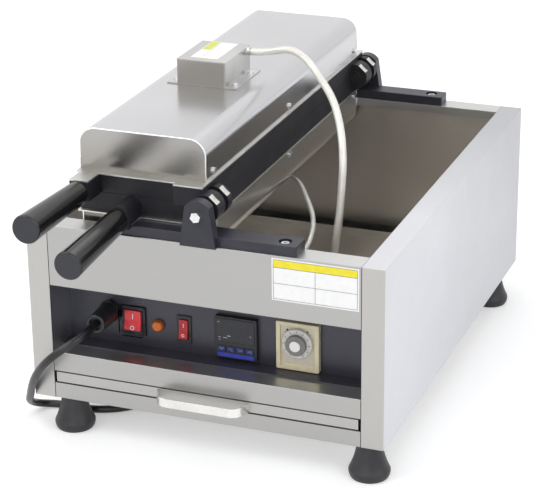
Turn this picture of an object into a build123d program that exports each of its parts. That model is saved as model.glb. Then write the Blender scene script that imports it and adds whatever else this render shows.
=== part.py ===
from build123d import *
import math
import os

# A countertop maker of fish-shaped cakes. Two cast mould halves close like a book on a hinge that
# stands over the middle of an open stainless well. The closed pair turns over onto the right-hand
# arms, or the upper half opens alone. The controls sit in a recess in front, over a drip drawer.
# Lengths are in millimetres, +Z is up and -Y is the side with the controls and the grips.

os.makedirs("parts", exist_ok=True)

# Body of folded sheet
body_width = 400.0
body_depth = 546.0
body_height = 202.0
side_width = 25.0
sheet = 1.2
front_flange = 27.0
rear_flange = 24.6
flange_lip = 10.0
bottom_rail_height = 18.6
recess_height = 78.2
apron_return = 12.0
rail_height = 23.0
rail_return = 20.0
drawer_opening = 13.2
bottom_rail_return = 15.0
ledge_depth = 46.5
inner_wall_setback = 12.0
inner_wall_clearance = 30.0
screw_notch = 8.0
screw_notch_depth = 13.0
compartment_depth = 135.0
compartment_share = 0.7673
compartment_floor_height = 34.0

# Feet
foot_height = 38.0
foot_top_radius = 13.5
foot_wide_radius = 22.0
foot_base_radius = 20.0
foot_flange_height = 6.0
foot_bolt_radius = 2.5
foot_bolt_clearance = 0.3
foot_head_radius = 4.5
foot_head_height = 4.0
foot_pocket_radius = 8.0
foot_pocket_depth = 9.0
foot_nut_flats = 8.0
foot_nut_height = 4.0
foot_nut_proud = 1.5
foot_nut_turn = 30
foot_flange_round = 3.0
foot_lip_height = 3.5
foot_lip_inset = 0.2
foot_waist_swell = 3.6
foot_waist_rise = 2.0
left_foot_inset = 40.0
right_foot_inset = 19.2
front_foot_setback = 14.0
rear_foot_setback = 52.0

# Drip drawer
drawer_gap = 0.4
drawer_side_gap = 2.4
drawer_rear_gap = 36.0
tray_side_gap = 5.0
tray_rim_gap = 1.2
runner_width = 12.0
runner_leg = 11.0
runner_clearance = 0.3
bow_span = 104.0
bow_reach = 20.0
bow_height = 10.0
bow_thickness = 1.8
bow_bend = 14.0

# Control panel
panel_setback = 45.0
panel_sheet = 1.5
panel_foot = 22.0
panel_top_gap = 5.0
control_rise = 83.0
cutout_gap = 0.2

# Power switch under its clear hood
power_x = -98.5
power_rise = 85.0
power_width = 29.0
power_height = 33.0
power_flange = 2.0
power_body_width = 22.0
power_body_height = 27.0
power_body_depth = 22.0
hood_depth = 7.5
hood_wall = 1.0
hood_corner = 2.0
rocker_gap = 0.4
rocker_well_wall = 1.2
rocker_well_depth = 9.0
rocker_end_gap = 1.2
blade_length = 8.0
blade_width = 6.0
blade_thickness = 0.8
rocker_tilt = 7.0
rocker_dip = 1.2
rocker_heel = 2.4
power_rocker_proud = 3.2

# Alarm switch
alarm_x = -39.3
alarm_width = 16.5
alarm_height = 31.5
alarm_body_width = 13.0
alarm_body_height = 26.0
alarm_body_depth = 20.0
alarm_flange = 1.8
alarm_rocker_proud = 2.8

# Indicator lamp
lamp_x = -69.5
lamp_bezel_radius = 7.2
lamp_bezel = 2.0
lamp_lens_radius = 6.0
lamp_lens_proud = 4.5
lamp_lens_dome = 2.4
lamp_body_radius = 5.8
lamp_body_depth = 24.0

# Temperature controller
controller_x = 22.0
controller_size = 48.0
controller_proud = 6.0
controller_body_size = 44.6
controller_body_depth = 64.0
controller_corner = 2.0
window_height = 27.0
window_proud = 0.6
window_margin = 2.0
key_count = 4
key_width = 8.6
key_height = 6.4
key_pitch = 10.8
key_drop = 13.0
key_gap = 0.3
key_depth = 3.0
key_proud = 0.8
key_edge = 0.4
key_travel = 0.8

# Timer
timer_x = 92.0
timer_width = 48.0
timer_rise = 84.2
timer_height = 54.8
timer_proud = 6.5
timer_face_width = 38.5
timer_face_height = 46.0
timer_face_sunk = 2.5
timer_body_width = 37.0
timer_body_height = 44.0
timer_body_depth = 50.0
timer_corner = 1.5
timer_edge = 0.8
dial_rise = 4.0
skirt_radius = 17.0
skirt_wall = 1.4
skirt_depth = 4.0
skirt_edge = 1.6
knob_radius = 11.5
knob_depth = 9.0
knob_edge = 1.2
knob_spindle_radius = 3.0
knob_spindle_reach = 3.0
spindle_bore_reach = 4.0
knob_gap = 0.4
cap_radius = 6.0
cap_depth = 1.5
cap_edge = 0.5

# Cable gland and cord
gland_x = -125.0
gland_rise = 93.0
gland_flats = 23.0
gland_hex_depth = 7.0
gland_thread_radius = 9.0
gland_thread_depth = 12.0
gland_locknut_depth = 4.0
gland_nut_radius = 11.4
gland_nut_front_radius = 10.6
gland_nut_depth = 35.0
gland_nut_edge = 2.0
gland_mouth_radius = 7.0
gland_mouth_depth = 4.0
cord_diameter = 8.5
coil_radius = 56.0
coil_pitch = 10.2
coil_turns_per_layer = 1.75
coil_climb_turns = 0.5
coil_quarter_turns = 16
coil_samples = 800
coil_apart = 3.0
plug_neck_length = 40.0
plug_neck_radius = 5.3
plug_length = 36.0
plug_width = 34.0
plug_corner = 6.0
plug_pin_length = 18.0
plug_pin_width = 6.3
plug_pin_thickness = 1.6
plug_pin_spacing = 12.7

# Terminal block in the compartment
terminal_x = -40.0
terminal_setback = 94.0
terminal_length = 64.0
terminal_width = 22.0
terminal_height = 18.0
terminal_count = 5
terminal_pitch = 12.0
terminal_hole_radius = 3.2
terminal_hole_depth = 6.0

# Brackets and hinge pins
bar_half_length = 105.0
bar_width = 28.0
bar_height = 11.0
bar_setback = 2.0
rear_bar_width = 24.0
rear_bar_setback = 1.0
bar_corner = 2.5
bar_edge = 0.8
ear_thickness = 12.0
ear_overhang = 6.0
ear_base_width = 40.0
ear_top_radius = 16.5
axis_rise = 34.0
pin_radius = 8.0
running_gap = 0.05
pin_end_gap = 0.5
bracket_screw_x = 88.5
bracket_screw_setback = 13.0
rear_screw_setback = 10.5
counterbore_radius = 7.0
counterbore_depth = 6.0
bracket_screw_radius = 2.5
bracket_head_radius = 4.3
bracket_head_height = 4.5
bracket_screw_length = 16.0
bracket_socket = 2.0
pivot_bolt_flats = 10.0
pivot_bolt_head = 4.5
pivot_bolt_radius = 3.0
pivot_bolt_length = 14.0
pivot_bolt_turn = 12

# Mould halves
mould_left = -148.5
mould_right = -3.5
mould_front_setback = 28.0
mould_rear_setback = 20.0
mould_thickness = 21.0
parting_gap = 0.3
mould_corner = 3.0
hub_radius = 16.0
hub_clearance = 0.6
hub_flat_reach = 14.9
hub_flat_angle = 48.0
hub_flat_length = 9.5
upper_hub_start = 14.0
upper_hub_end = 33.5
upper_rear_hub_start = 49.0
upper_rear_hub_end = 29.0
lower_hub_start = 42.0
lower_hub_end = 53.0
lower_rear_hub_start = 19.0
lower_rear_hub_end = 9.0
pad_width = 32.0
lug_root = 5.0
front_pad_reach = 11.0
lug_left = -143.5
lug_width = 21.5
lug_reach = 32.0
boss_x = -87.5
boss_width = 21.0
boss_reach = 34.0
boss_drop = 3.75
boss_bar_gap = 0.6
fish_count = 5
fish_end_margin = 61.0
fish_body_length = 43.0
fish_body_height = 29.0
fish_depth = 13.0
fish_draft = 4.0
fish_relief = 1.4
fish_body_shift = 10.0
eye_radius = 2.6
scale_radius = 5.0
ridge_width = 1.4
ridge_root = 1.0
gill_length = 24.0
tail_ray_length = 10.0
tail_ray_x = 40.0
tail_ray_pitch = 9.0
tail_ray_fan = 24.0

# Covers, plates and what they hold
plate_thickness = 1.5
plate_window_margin = 11.0
plate_front_reach = 5.0
plate_edge = 1.0
lip_height = 13.0
cover_left = -148.5
cover_right = -5.0
cover_setback = 6.0
cover_height = 45.3
cover_edge_radius = 18.0
heater_inset = 22.0
heater_thickness = 4.0
heater_post_radius = 2.5
heater_post_height = 12.0
heater_post_spacing = 30.0
insulation_margin = 10.0
insulation_height = 22.0
cover_screw_front_inset = 20.0
cover_screw_middle_shift = 4.0
cover_screw_rear_inset = 9.0
cover_screw_rise = 6.5
cover_screw_head_radius = 3.2
cover_screw_head = 2.2
cover_screw_radius = 1.6
cover_screw_length = 5.0

# Junction box on the upper cover
box_left = -109.0
box_right = -51.0
box_front = 202.5
box_depth = 75.5
box_height = 29.7
box_flange = 12.0
box_screw_inset = 14.5
box_screw_radius = 2.0
box_screw_head_radius = 3.6
box_screw_head = 2.4

# Hoses
corner_share = 0.45
upper_hose_diameter = 8.5
lower_hose_diameter = 5.5
ferrule_radius = 5.0
lower_fitting_size = 16.0
lower_fitting_height = 14.0
wall_gland_radius = 7.5
wall_gland_length = 8.0
small_gland_length = 6.0

# Grips
grip_length = 117.0
grip_inner_radius = 12.8
grip_outer_radius = 15.3
grip_edge = 2.0
grip_bore = 34.0
collar_radius = 8.5
collar_length = 3.6
collar_gap = 0.5
stud_radius = 4.0
stud_in_lug = 8.0
upper_grip_drop = 12.9
upper_grip_tilt = 1.4
lower_grip_rise = 7.2
lower_grip_tilt = -2.6

# Places worked out from the sizes above
half_width = body_width / 2
front_reach = boss_reach - mould_front_setback + collar_gap + collar_length + grip_length
rear_reach = ear_overhang + pivot_bolt_head
front_y = front_reach - (front_reach + body_depth + rear_reach) / 2
rear_y = front_y + body_depth
base_z = foot_height
top_z = base_z + body_height
inner_x = half_width - side_width
slot_bottom_z = base_z + bottom_rail_height
rail_bottom_z = slot_bottom_z + drawer_opening
rail_top_z = rail_bottom_z + rail_height
apron_bottom_z = rail_top_z + recess_height
panel_y = front_y + panel_setback
panel_back_y = panel_y + panel_sheet
compartment_y = front_y + compartment_depth
compartment_top_z = base_z + compartment_share * body_height
compartment_floor_z = base_z + compartment_floor_height
control_z = base_z + control_rise
bar_top_z = top_z + bar_height
axis_z = top_z + axis_rise
mould_front = front_y + mould_front_setback
mould_rear = rear_y - mould_rear_setback
mould_middle_x = (mould_left + mould_right) / 2
mould_middle_y = (mould_front + mould_rear) / 2
fish_pitch = (mould_rear - mould_front - 2 * fish_end_margin) / (fish_count - 1)
cover_front = mould_front + cover_setback
cover_rear = mould_rear - cover_setback
ear_front = front_y - ear_overhang
ear_rear = rear_y + ear_overhang
upper_hubs = (
    (front_y + upper_hub_start, front_y + upper_hub_end),
    (rear_y - upper_rear_hub_start, rear_y - upper_rear_hub_end),
)
lower_hubs = (
    (front_y + lower_hub_start, front_y + lower_hub_end),
    (rear_y - lower_rear_hub_start, rear_y - lower_rear_hub_end),
)


def block(x0, x1, y0, y1, z0, z1, mode=Mode.ADD):
    """A box between two corners, added to or cut from the part being built."""
    with Locations(((x0 + x1) / 2, (y0 + y1) / 2, (z0 + z1) / 2)):
        Box(abs(x1 - x0), abs(y1 - y0), abs(z1 - z0), mode=mode)


def rod_y(x, z, y0, y1, radius, mode=Mode.ADD):
    """A cylinder along Y."""
    with Locations((x, (y0 + y1) / 2, z)):
        Cylinder(radius, abs(y1 - y0), rotation=(90, 0, 0), mode=mode)


def rod_x(y, z, x0, x1, radius, mode=Mode.ADD):
    """A cylinder along X."""
    with Locations(((x0 + x1) / 2, y, z)):
        Cylinder(radius, abs(x1 - x0), rotation=(0, 90, 0), mode=mode)


def rod_z(x, y, z0, z1, radius, mode=Mode.ADD):
    """A cylinder along Z."""
    with Locations((x, y, (z0 + z1) / 2)):
        Cylinder(radius, abs(z1 - z0), mode=mode)


def save(part, name):
    """Labels a finished piece and writes it as a STEP file."""
    part.label = name
    export_step(part, f"parts/{name}.step")


# Side panels: hollow folded boxes that carry the flanges, open at the bottom for the base plate
for name, side in (("left_side_panel", -1), ("right_side_panel", 1)):
    outer = side * half_width
    inner = side * inner_x
    with BuildPart() as side_panel:
        block(outer, inner, front_y, rear_y, base_z, top_z)
        top_edges = side_panel.faces().sort_by(Axis.Z)[-1].edges()
        fillet(top_edges + side_panel.edges().filter_by(Axis.Z), sheet / 2)
        block(
            outer - side * sheet,
            inner + side * sheet,
            front_y + sheet,
            rear_y - sheet,
            base_z,
            top_z - sheet,
            Mode.SUBTRACT,
        )
        block(
            outer - side * sheet,
            inner,
            front_y + sheet,
            rear_y - sheet,
            base_z,
            base_z + sheet,
            Mode.SUBTRACT,
        )
    save(side_panel.part, name)

# Front apron with its top flange, under which the front bracket is screwed
bracket_screw_y = front_y + bar_setback + bracket_screw_setback
rear_screw_y = rear_y - rear_bar_setback - rear_screw_setback
with BuildPart() as front_apron:
    block(-inner_x, inner_x, front_y, front_y + sheet, apron_bottom_z, top_z)
    block(-inner_x, inner_x, front_y, front_y + front_flange, top_z - sheet, top_z)
    lip_y = front_y + front_flange
    block(-inner_x, inner_x, lip_y - sheet, lip_y, top_z - flange_lip, top_z)
    return_y = front_y + apron_return
    block(-inner_x, inner_x, front_y, return_y, apron_bottom_z, apron_bottom_z + sheet)
    front_edges = front_apron.faces().sort_by(Axis.Y)[0].edges().filter_by(Axis.X)
    fillet(front_edges, sheet / 2)
    for x in (-bracket_screw_x, bracket_screw_x):
        rod_z(x, bracket_screw_y, top_z - sheet, top_z, bracket_screw_radius, Mode.SUBTRACT)
save(front_apron.part, "front_apron")

# Rear panel with its flange and the lip that hangs into the well
with BuildPart() as rear_panel:
    block(-inner_x, inner_x, rear_y - sheet, rear_y, base_z, top_z)
    block(-inner_x, inner_x, rear_y - rear_flange, rear_y, top_z - sheet, top_z)
    lip_y = rear_y - rear_flange
    block(-inner_x, inner_x, lip_y, lip_y + sheet, top_z - flange_lip, top_z)
    rear_edges = rear_panel.faces().sort_by(Axis.Y)[-1].edges().filter_by(Axis.X)
    fillet(rear_edges.sort_by(Axis.Z)[-1], sheet / 2)
    for x in (-bracket_screw_x, bracket_screw_x):
        rod_z(x, rear_screw_y, top_z - sheet, top_z, bracket_screw_radius, Mode.SUBTRACT)
save(rear_panel.part, "rear_panel")

# Rear wall of the well, which hangs from the flange and stops above the drawer
inner_wall_y = rear_y - inner_wall_setback
with BuildPart() as rear_inner_wall:
    block(
        -inner_x,
        inner_x,
        inner_wall_y,
        inner_wall_y + sheet,
        base_z + inner_wall_clearance,
        top_z - sheet,
    )
    block(
        -inner_x,
        inner_x,
        inner_wall_y,
        rear_y - sheet,
        base_z + inner_wall_clearance,
        base_z + inner_wall_clearance + sheet,
    )
    for x in (-bracket_screw_x, bracket_screw_x):
        block(
            x - screw_notch / 2,
            x + screw_notch / 2,
            inner_wall_y,
            inner_wall_y + sheet,
            top_z - screw_notch_depth,
            top_z - sheet,
            Mode.SUBTRACT,
        )
save(rear_inner_wall.part, "rear_inner_wall")

# Base tray: it closes the bottom, takes the feet and turns up as the rail under the drawer
foot_places = {
    "foot_front_left": (-half_width + left_foot_inset, front_y + front_foot_setback),
    "foot_front_right": (half_width - right_foot_inset, front_y + front_foot_setback),
    "foot_rear_left": (-half_width + left_foot_inset, rear_y - rear_foot_setback),
    "foot_rear_right": (half_width - right_foot_inset, rear_y - rear_foot_setback),
}
foot_hole_radius = foot_bolt_radius + foot_bolt_clearance
with BuildPart() as base_tray:
    block(
        -half_width + sheet,
        half_width - sheet,
        front_y + sheet,
        rear_y - sheet,
        base_z,
        base_z + sheet,
    )
    for x, y in foot_places.values():
        rod_z(x, y, base_z, base_z + sheet, foot_hole_radius, Mode.SUBTRACT)
    block(-inner_x, inner_x, front_y, front_y + sheet, base_z, slot_bottom_z)
    block(
        -inner_x,
        inner_x,
        front_y,
        front_y + bottom_rail_return,
        slot_bottom_z - sheet,
        slot_bottom_z,
    )
    fillet(base_tray.faces().sort_by(Axis.Y)[0].edges().filter_by(Axis.X), sheet / 2)
save(base_tray.part, "base_tray")

# Rail and ledge under the control recess
with BuildPart() as front_rail:
    block(-inner_x, inner_x, front_y, front_y + sheet, rail_bottom_z, rail_top_z)
    block(-inner_x, inner_x, front_y, front_y + ledge_depth, rail_top_z - sheet, rail_top_z)
    block(
        -inner_x,
        inner_x,
        front_y,
        front_y + rail_return,
        rail_bottom_z,
        rail_bottom_z + sheet,
    )
    fillet(front_rail.faces().sort_by(Axis.Y)[0].edges().filter_by(Axis.X), sheet / 2)
save(front_rail.part, "front_rail")

# Drawer runners: two angles on the side walls
runner_top = slot_bottom_z + drawer_gap
with BuildPart() as drawer_runners:
    for side in (-1, 1):
        wall = side * inner_x
        runner_start = front_y + bottom_rail_return
        runner_end = inner_wall_y
        block(
            wall,
            wall - side * runner_width,
            runner_start,
            runner_end,
            runner_top - sheet,
            runner_top,
        )
        block(
            wall,
            wall - side * sheet,
            runner_start,
            runner_end,
            runner_top - runner_leg,
            runner_top,
        )
save(drawer_runners.part, "drawer_runners")

# Drip drawer: one folded tray with its front plate
tray_floor = runner_top + runner_clearance
tray_rim = rail_bottom_z - tray_rim_gap
tray_half = inner_x - tray_side_gap
tray_rear = rear_y - drawer_rear_gap
with BuildPart() as drawer_tray:
    block(-tray_half, tray_half, front_y, tray_rear, tray_floor, tray_rim)
    block(
        -tray_half + sheet,
        tray_half - sheet,
        front_y + sheet,
        tray_rear - sheet,
        tray_floor + sheet,
        tray_rim,
        Mode.SUBTRACT,
    )
    front_half = inner_x - drawer_side_gap
    drawer_front_top = rail_bottom_z - drawer_gap
    block(-front_half, front_half, front_y, front_y + sheet, tray_floor, drawer_front_top)
save(drawer_tray.part, "drawer_tray")

# Bow handle of flat bar, curved out from the drawer front
bow_z = (tray_floor + drawer_front_top) / 2
with BuildPart() as drawer_handle:
    with BuildSketch(Plane.XY.offset(bow_z - bow_height / 2)):
        with BuildLine():
            half_span = bow_span / 2
            out_y = front_y - bow_reach
            bow = FilletPolyline(
                (-half_span, front_y),
                (-half_span + bow_bend / 2, out_y),
                (half_span - bow_bend / 2, out_y),
                (half_span, front_y),
                radius=bow_bend,
            )
        trace(line_width=bow_thickness)
    extrude(amount=bow_height)
    block(
        -bow_span,
        bow_span,
        front_y,
        front_y + bow_reach,
        bow_z - bow_height,
        bow_z + bow_height,
        Mode.SUBTRACT,
    )
save(drawer_handle.part, "drawer_handle")

# Routes of the hoses and the cord, as points chosen by hand: x from the middle and y from the front
# face. The third number is the height over the body's top for a hose above the body, a share of the
# body's height for a hose beside it, and the height from the body's underside for the cord.
upper_hose_over = [
    (-47.0, 270.0, 126.5),
    (-35.0, 270.0, 126.5),
    (-20.0, 270.0, 129.5),
    (-5.0, 267.5, 133.5),
    (11.0, 260.0, 135.0),
    (30.0, 247.0, 130.0),
    (54.0, 227.0, 114.0),
    (75.0, 203.0, 102.0),
    (90.0, 180.0, 85.0),
    (99.0, 163.0, 67.0),
    (103.0, 153.0, 45.0),
    (103.0, 149.0, 21.0),
]
upper_hose_beside = [
    (101.0, 149.0, 0.97525),
    (97.0, 151.0, 0.84653),
    (93.0, 155.0, 0.73762),
    (88.5, 163.0, 0.65347),
    (83.5, 172.0, 0.57921),
    (79.5, 180.0, 0.51238),
    (76.5, 184.5, 0.44307),
    (74.0, 184.2, 0.37624),
    (72.0, 179.2, 0.31782),
    (70.6, 170.0, 0.27228),
    (70.0, 158.0, 0.24752),
    (70.0, 143.0, 0.24752),
]
lower_hose_beside = [
    (-42.0, 330.0, 0.79703),
    (-28.0, 330.0, 0.79703),
    (-12.0, 322.0, 0.79703),
    (1.0, 303.0, 0.79950),
    (21.0, 264.0, 0.81188),
    (40.0, 230.0, 0.79950),
    (50.0, 207.0, 0.78713),
    (56.0, 188.0, 0.77228),
    (59.0, 170.0, 0.74752),
    (60.0, 154.0, 0.72772),
    (60.0, 141.0, 0.72772),
]


def placed(points):
    """Route points moved from the body's own corner to the model's frame."""
    return [(x, front_y + y, base_z + z) for x, y, z in points]


def over_body(points):
    """Hose points whose heights are measured up from the top of the body."""
    return [(x, front_y + y, top_z + z) for x, y, z in points]


def beside_body(points):
    """Hose points whose heights are shares of the body's height."""
    return [(x, front_y + y, base_z + share * body_height) for x, y, share in points]


def bend_radii(points):
    """The radius of each corner's arc, which takes up the same share of the shorter run."""
    radii = []
    for before, corner, after in zip(points, points[1:], points[2:]):
        run_in = Vector(*corner) - Vector(*before)
        run_out = Vector(*after) - Vector(*corner)
        half_turn = math.radians(run_in.get_angle(run_out)) / 2
        shorter = min(run_in.length, run_out.length)
        radii.append(corner_share * shorter / math.tan(half_turn))
    return radii


def tube(points, diameter, name):
    """A round tube along straight runs and arcs, with its radii and volume printed."""
    radii = bend_radii(points)
    with BuildPart() as swept:
        with BuildLine() as path:
            FilletPolyline(*points, radius=radii)
        route = path.wires()[0]
        with BuildSketch(Plane(origin=route @ 0, z_dir=route % 0)):
            Circle(diameter / 2)
        sweep(path=route)
    section = math.pi * diameter**2 / 4
    ratio = swept.part.volume / (section * route.length)
    print(name, "length", round(route.length, 1), "volume ratio", round(ratio, 5))
    print(name, "radii in diameters", [round(r / diameter, 1) for r in radii])
    return swept.part


upper_hose_route = over_body(upper_hose_over) + beside_body(upper_hose_beside)
lower_hose_route = beside_body(lower_hose_beside)

wall_gland_x = upper_hose_route[-1][0]
wall_gland_z = upper_hose_route[-1][2]
small_gland_x = lower_hose_route[-1][0]
small_gland_z = lower_hose_route[-1][2]
with BuildPart() as compartment_box:
    block(
        -inner_x,
        inner_x,
        front_y + sheet,
        compartment_y,
        compartment_top_z - sheet,
        compartment_top_z,
    )
    block(
        -inner_x,
        inner_x,
        compartment_y - sheet,
        compartment_y,
        compartment_floor_z,
        compartment_top_z,
    )
    block(
        -inner_x,
        inner_x,
        front_y + sheet,
        compartment_y,
        compartment_floor_z,
        compartment_floor_z + sheet,
    )
    for x, z, length in (
        (wall_gland_x, wall_gland_z, wall_gland_length),
        (small_gland_x, small_gland_z, small_gland_length),
    ):
        rod_y(x, z, compartment_y, compartment_y + length, wall_gland_radius)
save(compartment_box.part, "compartment_box")

# Control panel, folded forward at its head and foot
panel_top_z = apron_bottom_z + sheet + panel_sheet
power_z = base_z + power_rise
lamp_z = control_z
alarm_z = control_z
gland_z = base_z + gland_rise
timer_z = base_z + timer_rise
with BuildPart() as control_panel:
    block(-inner_x, inner_x, panel_y, panel_back_y, rail_top_z, panel_top_z)
    block(
        -inner_x,
        inner_x,
        front_y + panel_top_gap,
        panel_back_y,
        panel_top_z - panel_sheet,
        panel_top_z,
    )
    block(
        -inner_x,
        inner_x,
        panel_y - panel_foot,
        panel_back_y,
        rail_top_z,
        rail_top_z + panel_sheet,
    )
    for x, z, width, height in (
        (power_x, power_z, power_body_width, power_body_height),
        (alarm_x, alarm_z, alarm_body_width, alarm_body_height),
        (controller_x, control_z, controller_body_size, controller_body_size),
        (timer_x, timer_z, timer_body_width, timer_body_height),
    ):
        half_w = width / 2 + cutout_gap
        half_h = height / 2 + cutout_gap
        block(
            x - half_w,
            x + half_w,
            panel_y,
            panel_back_y,
            z - half_h,
            z + half_h,
            Mode.SUBTRACT,
        )
    for x, z, radius in (
        (gland_x, gland_z, gland_thread_radius),
        (lamp_x, lamp_z, lamp_body_radius),
    ):
        rod_y(x, z, panel_y, panel_back_y, radius + cutout_gap, Mode.SUBTRACT)
save(control_panel.part, "control_panel")


def rocker_switch(x, z, width, height, flange, body_width, body_height, body_depth):
    """A snap-in switch housing with a well for its rocker and four blade terminals."""
    with BuildPart() as housing:
        front = panel_y - flange
        block(x - width / 2, x + width / 2, front, panel_y, z - height / 2, z + height / 2)
        half_w = body_width / 2
        half_h = body_height / 2
        block(x - half_w, x + half_w, panel_y, panel_y + body_depth, z - half_h, z + half_h)
        block(
            x - half_w + rocker_well_wall,
            x + half_w - rocker_well_wall,
            front,
            front + rocker_well_depth,
            z - half_h + rocker_well_wall,
            z + half_h - rocker_well_wall,
            Mode.SUBTRACT,
        )
        for dx in (-body_width / 4, body_width / 4):
            for dz in (-body_height / 4, body_height / 4):
                block(
                    x + dx - blade_thickness / 2,
                    x + dx + blade_thickness / 2,
                    panel_y + body_depth,
                    panel_y + body_depth + blade_length,
                    z + dz - blade_width / 2,
                    z + dz + blade_width / 2,
                )
    return housing.part


def rocker(x, z, body_width, body_height, flange, proud):
    """A rocker key, tilted about its pivot so that its lower half stands proud."""
    half_w = body_width / 2 - rocker_well_wall - rocker_gap
    half_h = body_height / 2 - rocker_well_wall - rocker_end_gap
    pivot_y = panel_y - flange + rocker_well_depth / 2
    face_y = pivot_y - panel_y + flange + proud
    outline = (
        (-face_y, -half_h),
        (-face_y + rocker_dip, 0),
        (-face_y, half_h),
        (0, half_h),
        (rocker_heel, 0),
        (0, -half_h),
    )
    turn = -math.radians(rocker_tilt)
    tilted = [
        (u * math.cos(turn) - v * math.sin(turn), u * math.sin(turn) + v * math.cos(turn))
        for u, v in outline
    ]
    with BuildPart() as key:
        plane = Plane(origin=(x - half_w, pivot_y, z), x_dir=(0, 1, 0), z_dir=(1, 0, 0))
        with BuildSketch(plane):
            with BuildLine():
                Polyline(*tilted, close=True)
            make_face()
        extrude(amount=2 * half_w)
    return key.part


save(
    rocker_switch(
        power_x,
        power_z,
        power_width,
        power_height,
        power_flange,
        power_body_width,
        power_body_height,
        power_body_depth,
    ),
    "power_switch_body",
)
save(
    rocker(
        power_x,
        power_z,
        power_body_width,
        power_body_height,
        power_flange,
        power_rocker_proud,
    ),
    "power_rocker",
)
save(
    rocker_switch(
        alarm_x,
        alarm_z,
        alarm_width,
        alarm_height,
        alarm_flange,
        alarm_body_width,
        alarm_body_height,
        alarm_body_depth,
    ),
    "alarm_switch_body",
)
save(
    rocker(
        alarm_x,
        alarm_z,
        alarm_body_width,
        alarm_body_height,
        alarm_flange,
        alarm_rocker_proud,
    ),
    "alarm_rocker",
)

# Clear splash hood over the power rocker
hood_back = panel_y - power_flange
hood_front = hood_back - hood_depth
with BuildPart() as power_switch_cover:
    half_w = power_width / 2
    half_h = power_height / 2
    block(
        power_x - half_w,
        power_x + half_w,
        hood_front,
        hood_back,
        power_z - half_h,
        power_z + half_h,
    )
    fillet(power_switch_cover.edges().filter_by(Axis.Y), hood_corner)
    block(
        power_x - half_w + hood_wall,
        power_x + half_w - hood_wall,
        hood_front + hood_wall,
        hood_back,
        power_z - half_h + hood_wall,
        power_z + half_h - hood_wall,
        Mode.SUBTRACT,
    )
save(power_switch_cover.part, "power_switch_cover")

# Indicator lamp: a threaded holder with a domed amber lens
with BuildPart() as indicator_lamp:
    lens_back = panel_y - lamp_bezel
    rod_y(lamp_x, lamp_z, lens_back - lamp_lens_proud, lens_back, lamp_lens_radius)
    fillet(indicator_lamp.faces().sort_by(Axis.Y)[0].edges(), lamp_lens_dome)
    rod_y(lamp_x, lamp_z, lens_back, panel_y, lamp_bezel_radius)
    rod_y(lamp_x, lamp_z, panel_y, panel_y + lamp_body_depth, lamp_body_radius)
save(indicator_lamp.part, "indicator_lamp")

# Temperature controller: a case with a raised window, and four sprung keys
controller_front = panel_y - controller_proud
half_size = controller_size / 2
half_body = controller_body_size / 2
key_z = control_z - key_drop
key_xs = [
    controller_x + (i - (key_count - 1) / 2) * key_pitch for i in range(key_count)
]
key_back = controller_front + key_depth
with BuildPart() as temperature_controller:
    block(
        controller_x - half_size,
        controller_x + half_size,
        controller_front,
        panel_y,
        control_z - half_size,
        control_z + half_size,
    )
    fillet(temperature_controller.edges().filter_by(Axis.Y), controller_corner)
    block(
        controller_x - half_body,
        controller_x + half_body,
        panel_y,
        panel_y + controller_body_depth,
        control_z - half_body,
        control_z + half_body,
    )
    for x in key_xs:
        block(
            x - key_width / 2 - key_gap,
            x + key_width / 2 + key_gap,
            controller_front,
            key_back + key_travel + key_gap,
            key_z - key_height / 2 - key_gap,
            key_z + key_height / 2 + key_gap,
            Mode.SUBTRACT,
        )
    block(
        controller_x - half_size + window_margin,
        controller_x + half_size - window_margin,
        controller_front - window_proud,
        controller_front,
        control_z + half_size - window_margin - window_height,
        control_z + half_size - window_margin,
    )
save(temperature_controller.part, "temperature_controller")
for number, x in enumerate(key_xs, 1):
    with BuildPart() as controller_key:
        block(
            x - key_width / 2,
            x + key_width / 2,
            controller_front - key_proud,
            key_back,
            key_z - key_height / 2,
            key_z + key_height / 2,
        )
        fillet(controller_key.faces().sort_by(Axis.Y)[0].edges(), key_edge)
    save(controller_key.part, f"controller_key_{number}")

# Timer: its body in an adapter frame, and the knob with its clear skirt and white cap
timer_front = panel_y - timer_proud
timer_face = timer_front + timer_face_sunk
dial_z = timer_z + dial_rise
with BuildPart() as timer_frame:
    half_w = timer_width / 2
    half_h = timer_height / 2
    block(timer_x - half_w, timer_x + half_w, timer_front, panel_y, timer_z - half_h, timer_z + half_h)
    fillet(timer_frame.edges().filter_by(Axis.Y), timer_corner)
    fillet(timer_frame.faces().sort_by(Axis.Y)[0].edges(), timer_edge)
    block(
        timer_x - timer_face_width / 2,
        timer_x + timer_face_width / 2,
        timer_front,
        panel_y,
        timer_z - timer_face_height / 2,
        timer_z + timer_face_height / 2,
        Mode.SUBTRACT,
    )
    half_w = timer_face_width / 2
    half_h = timer_face_height / 2
    block(timer_x - half_w, timer_x + half_w, timer_face, panel_y, timer_z - half_h, timer_z + half_h)
    half_w = timer_body_width / 2
    half_h = timer_body_height / 2
    timer_back = panel_y + timer_body_depth
    block(timer_x - half_w, timer_x + half_w, panel_y, timer_back, timer_z - half_h, timer_z + half_h)
    spindle_hole = knob_spindle_radius + running_gap
    bore_end = panel_y + spindle_bore_reach
    rod_y(timer_x, dial_z, timer_face, bore_end, spindle_hole, Mode.SUBTRACT)
save(timer_frame.part, "timer_frame")
skirt_back = timer_face - knob_gap
skirt_front = skirt_back - skirt_depth
knob_front = skirt_back - knob_depth
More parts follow.
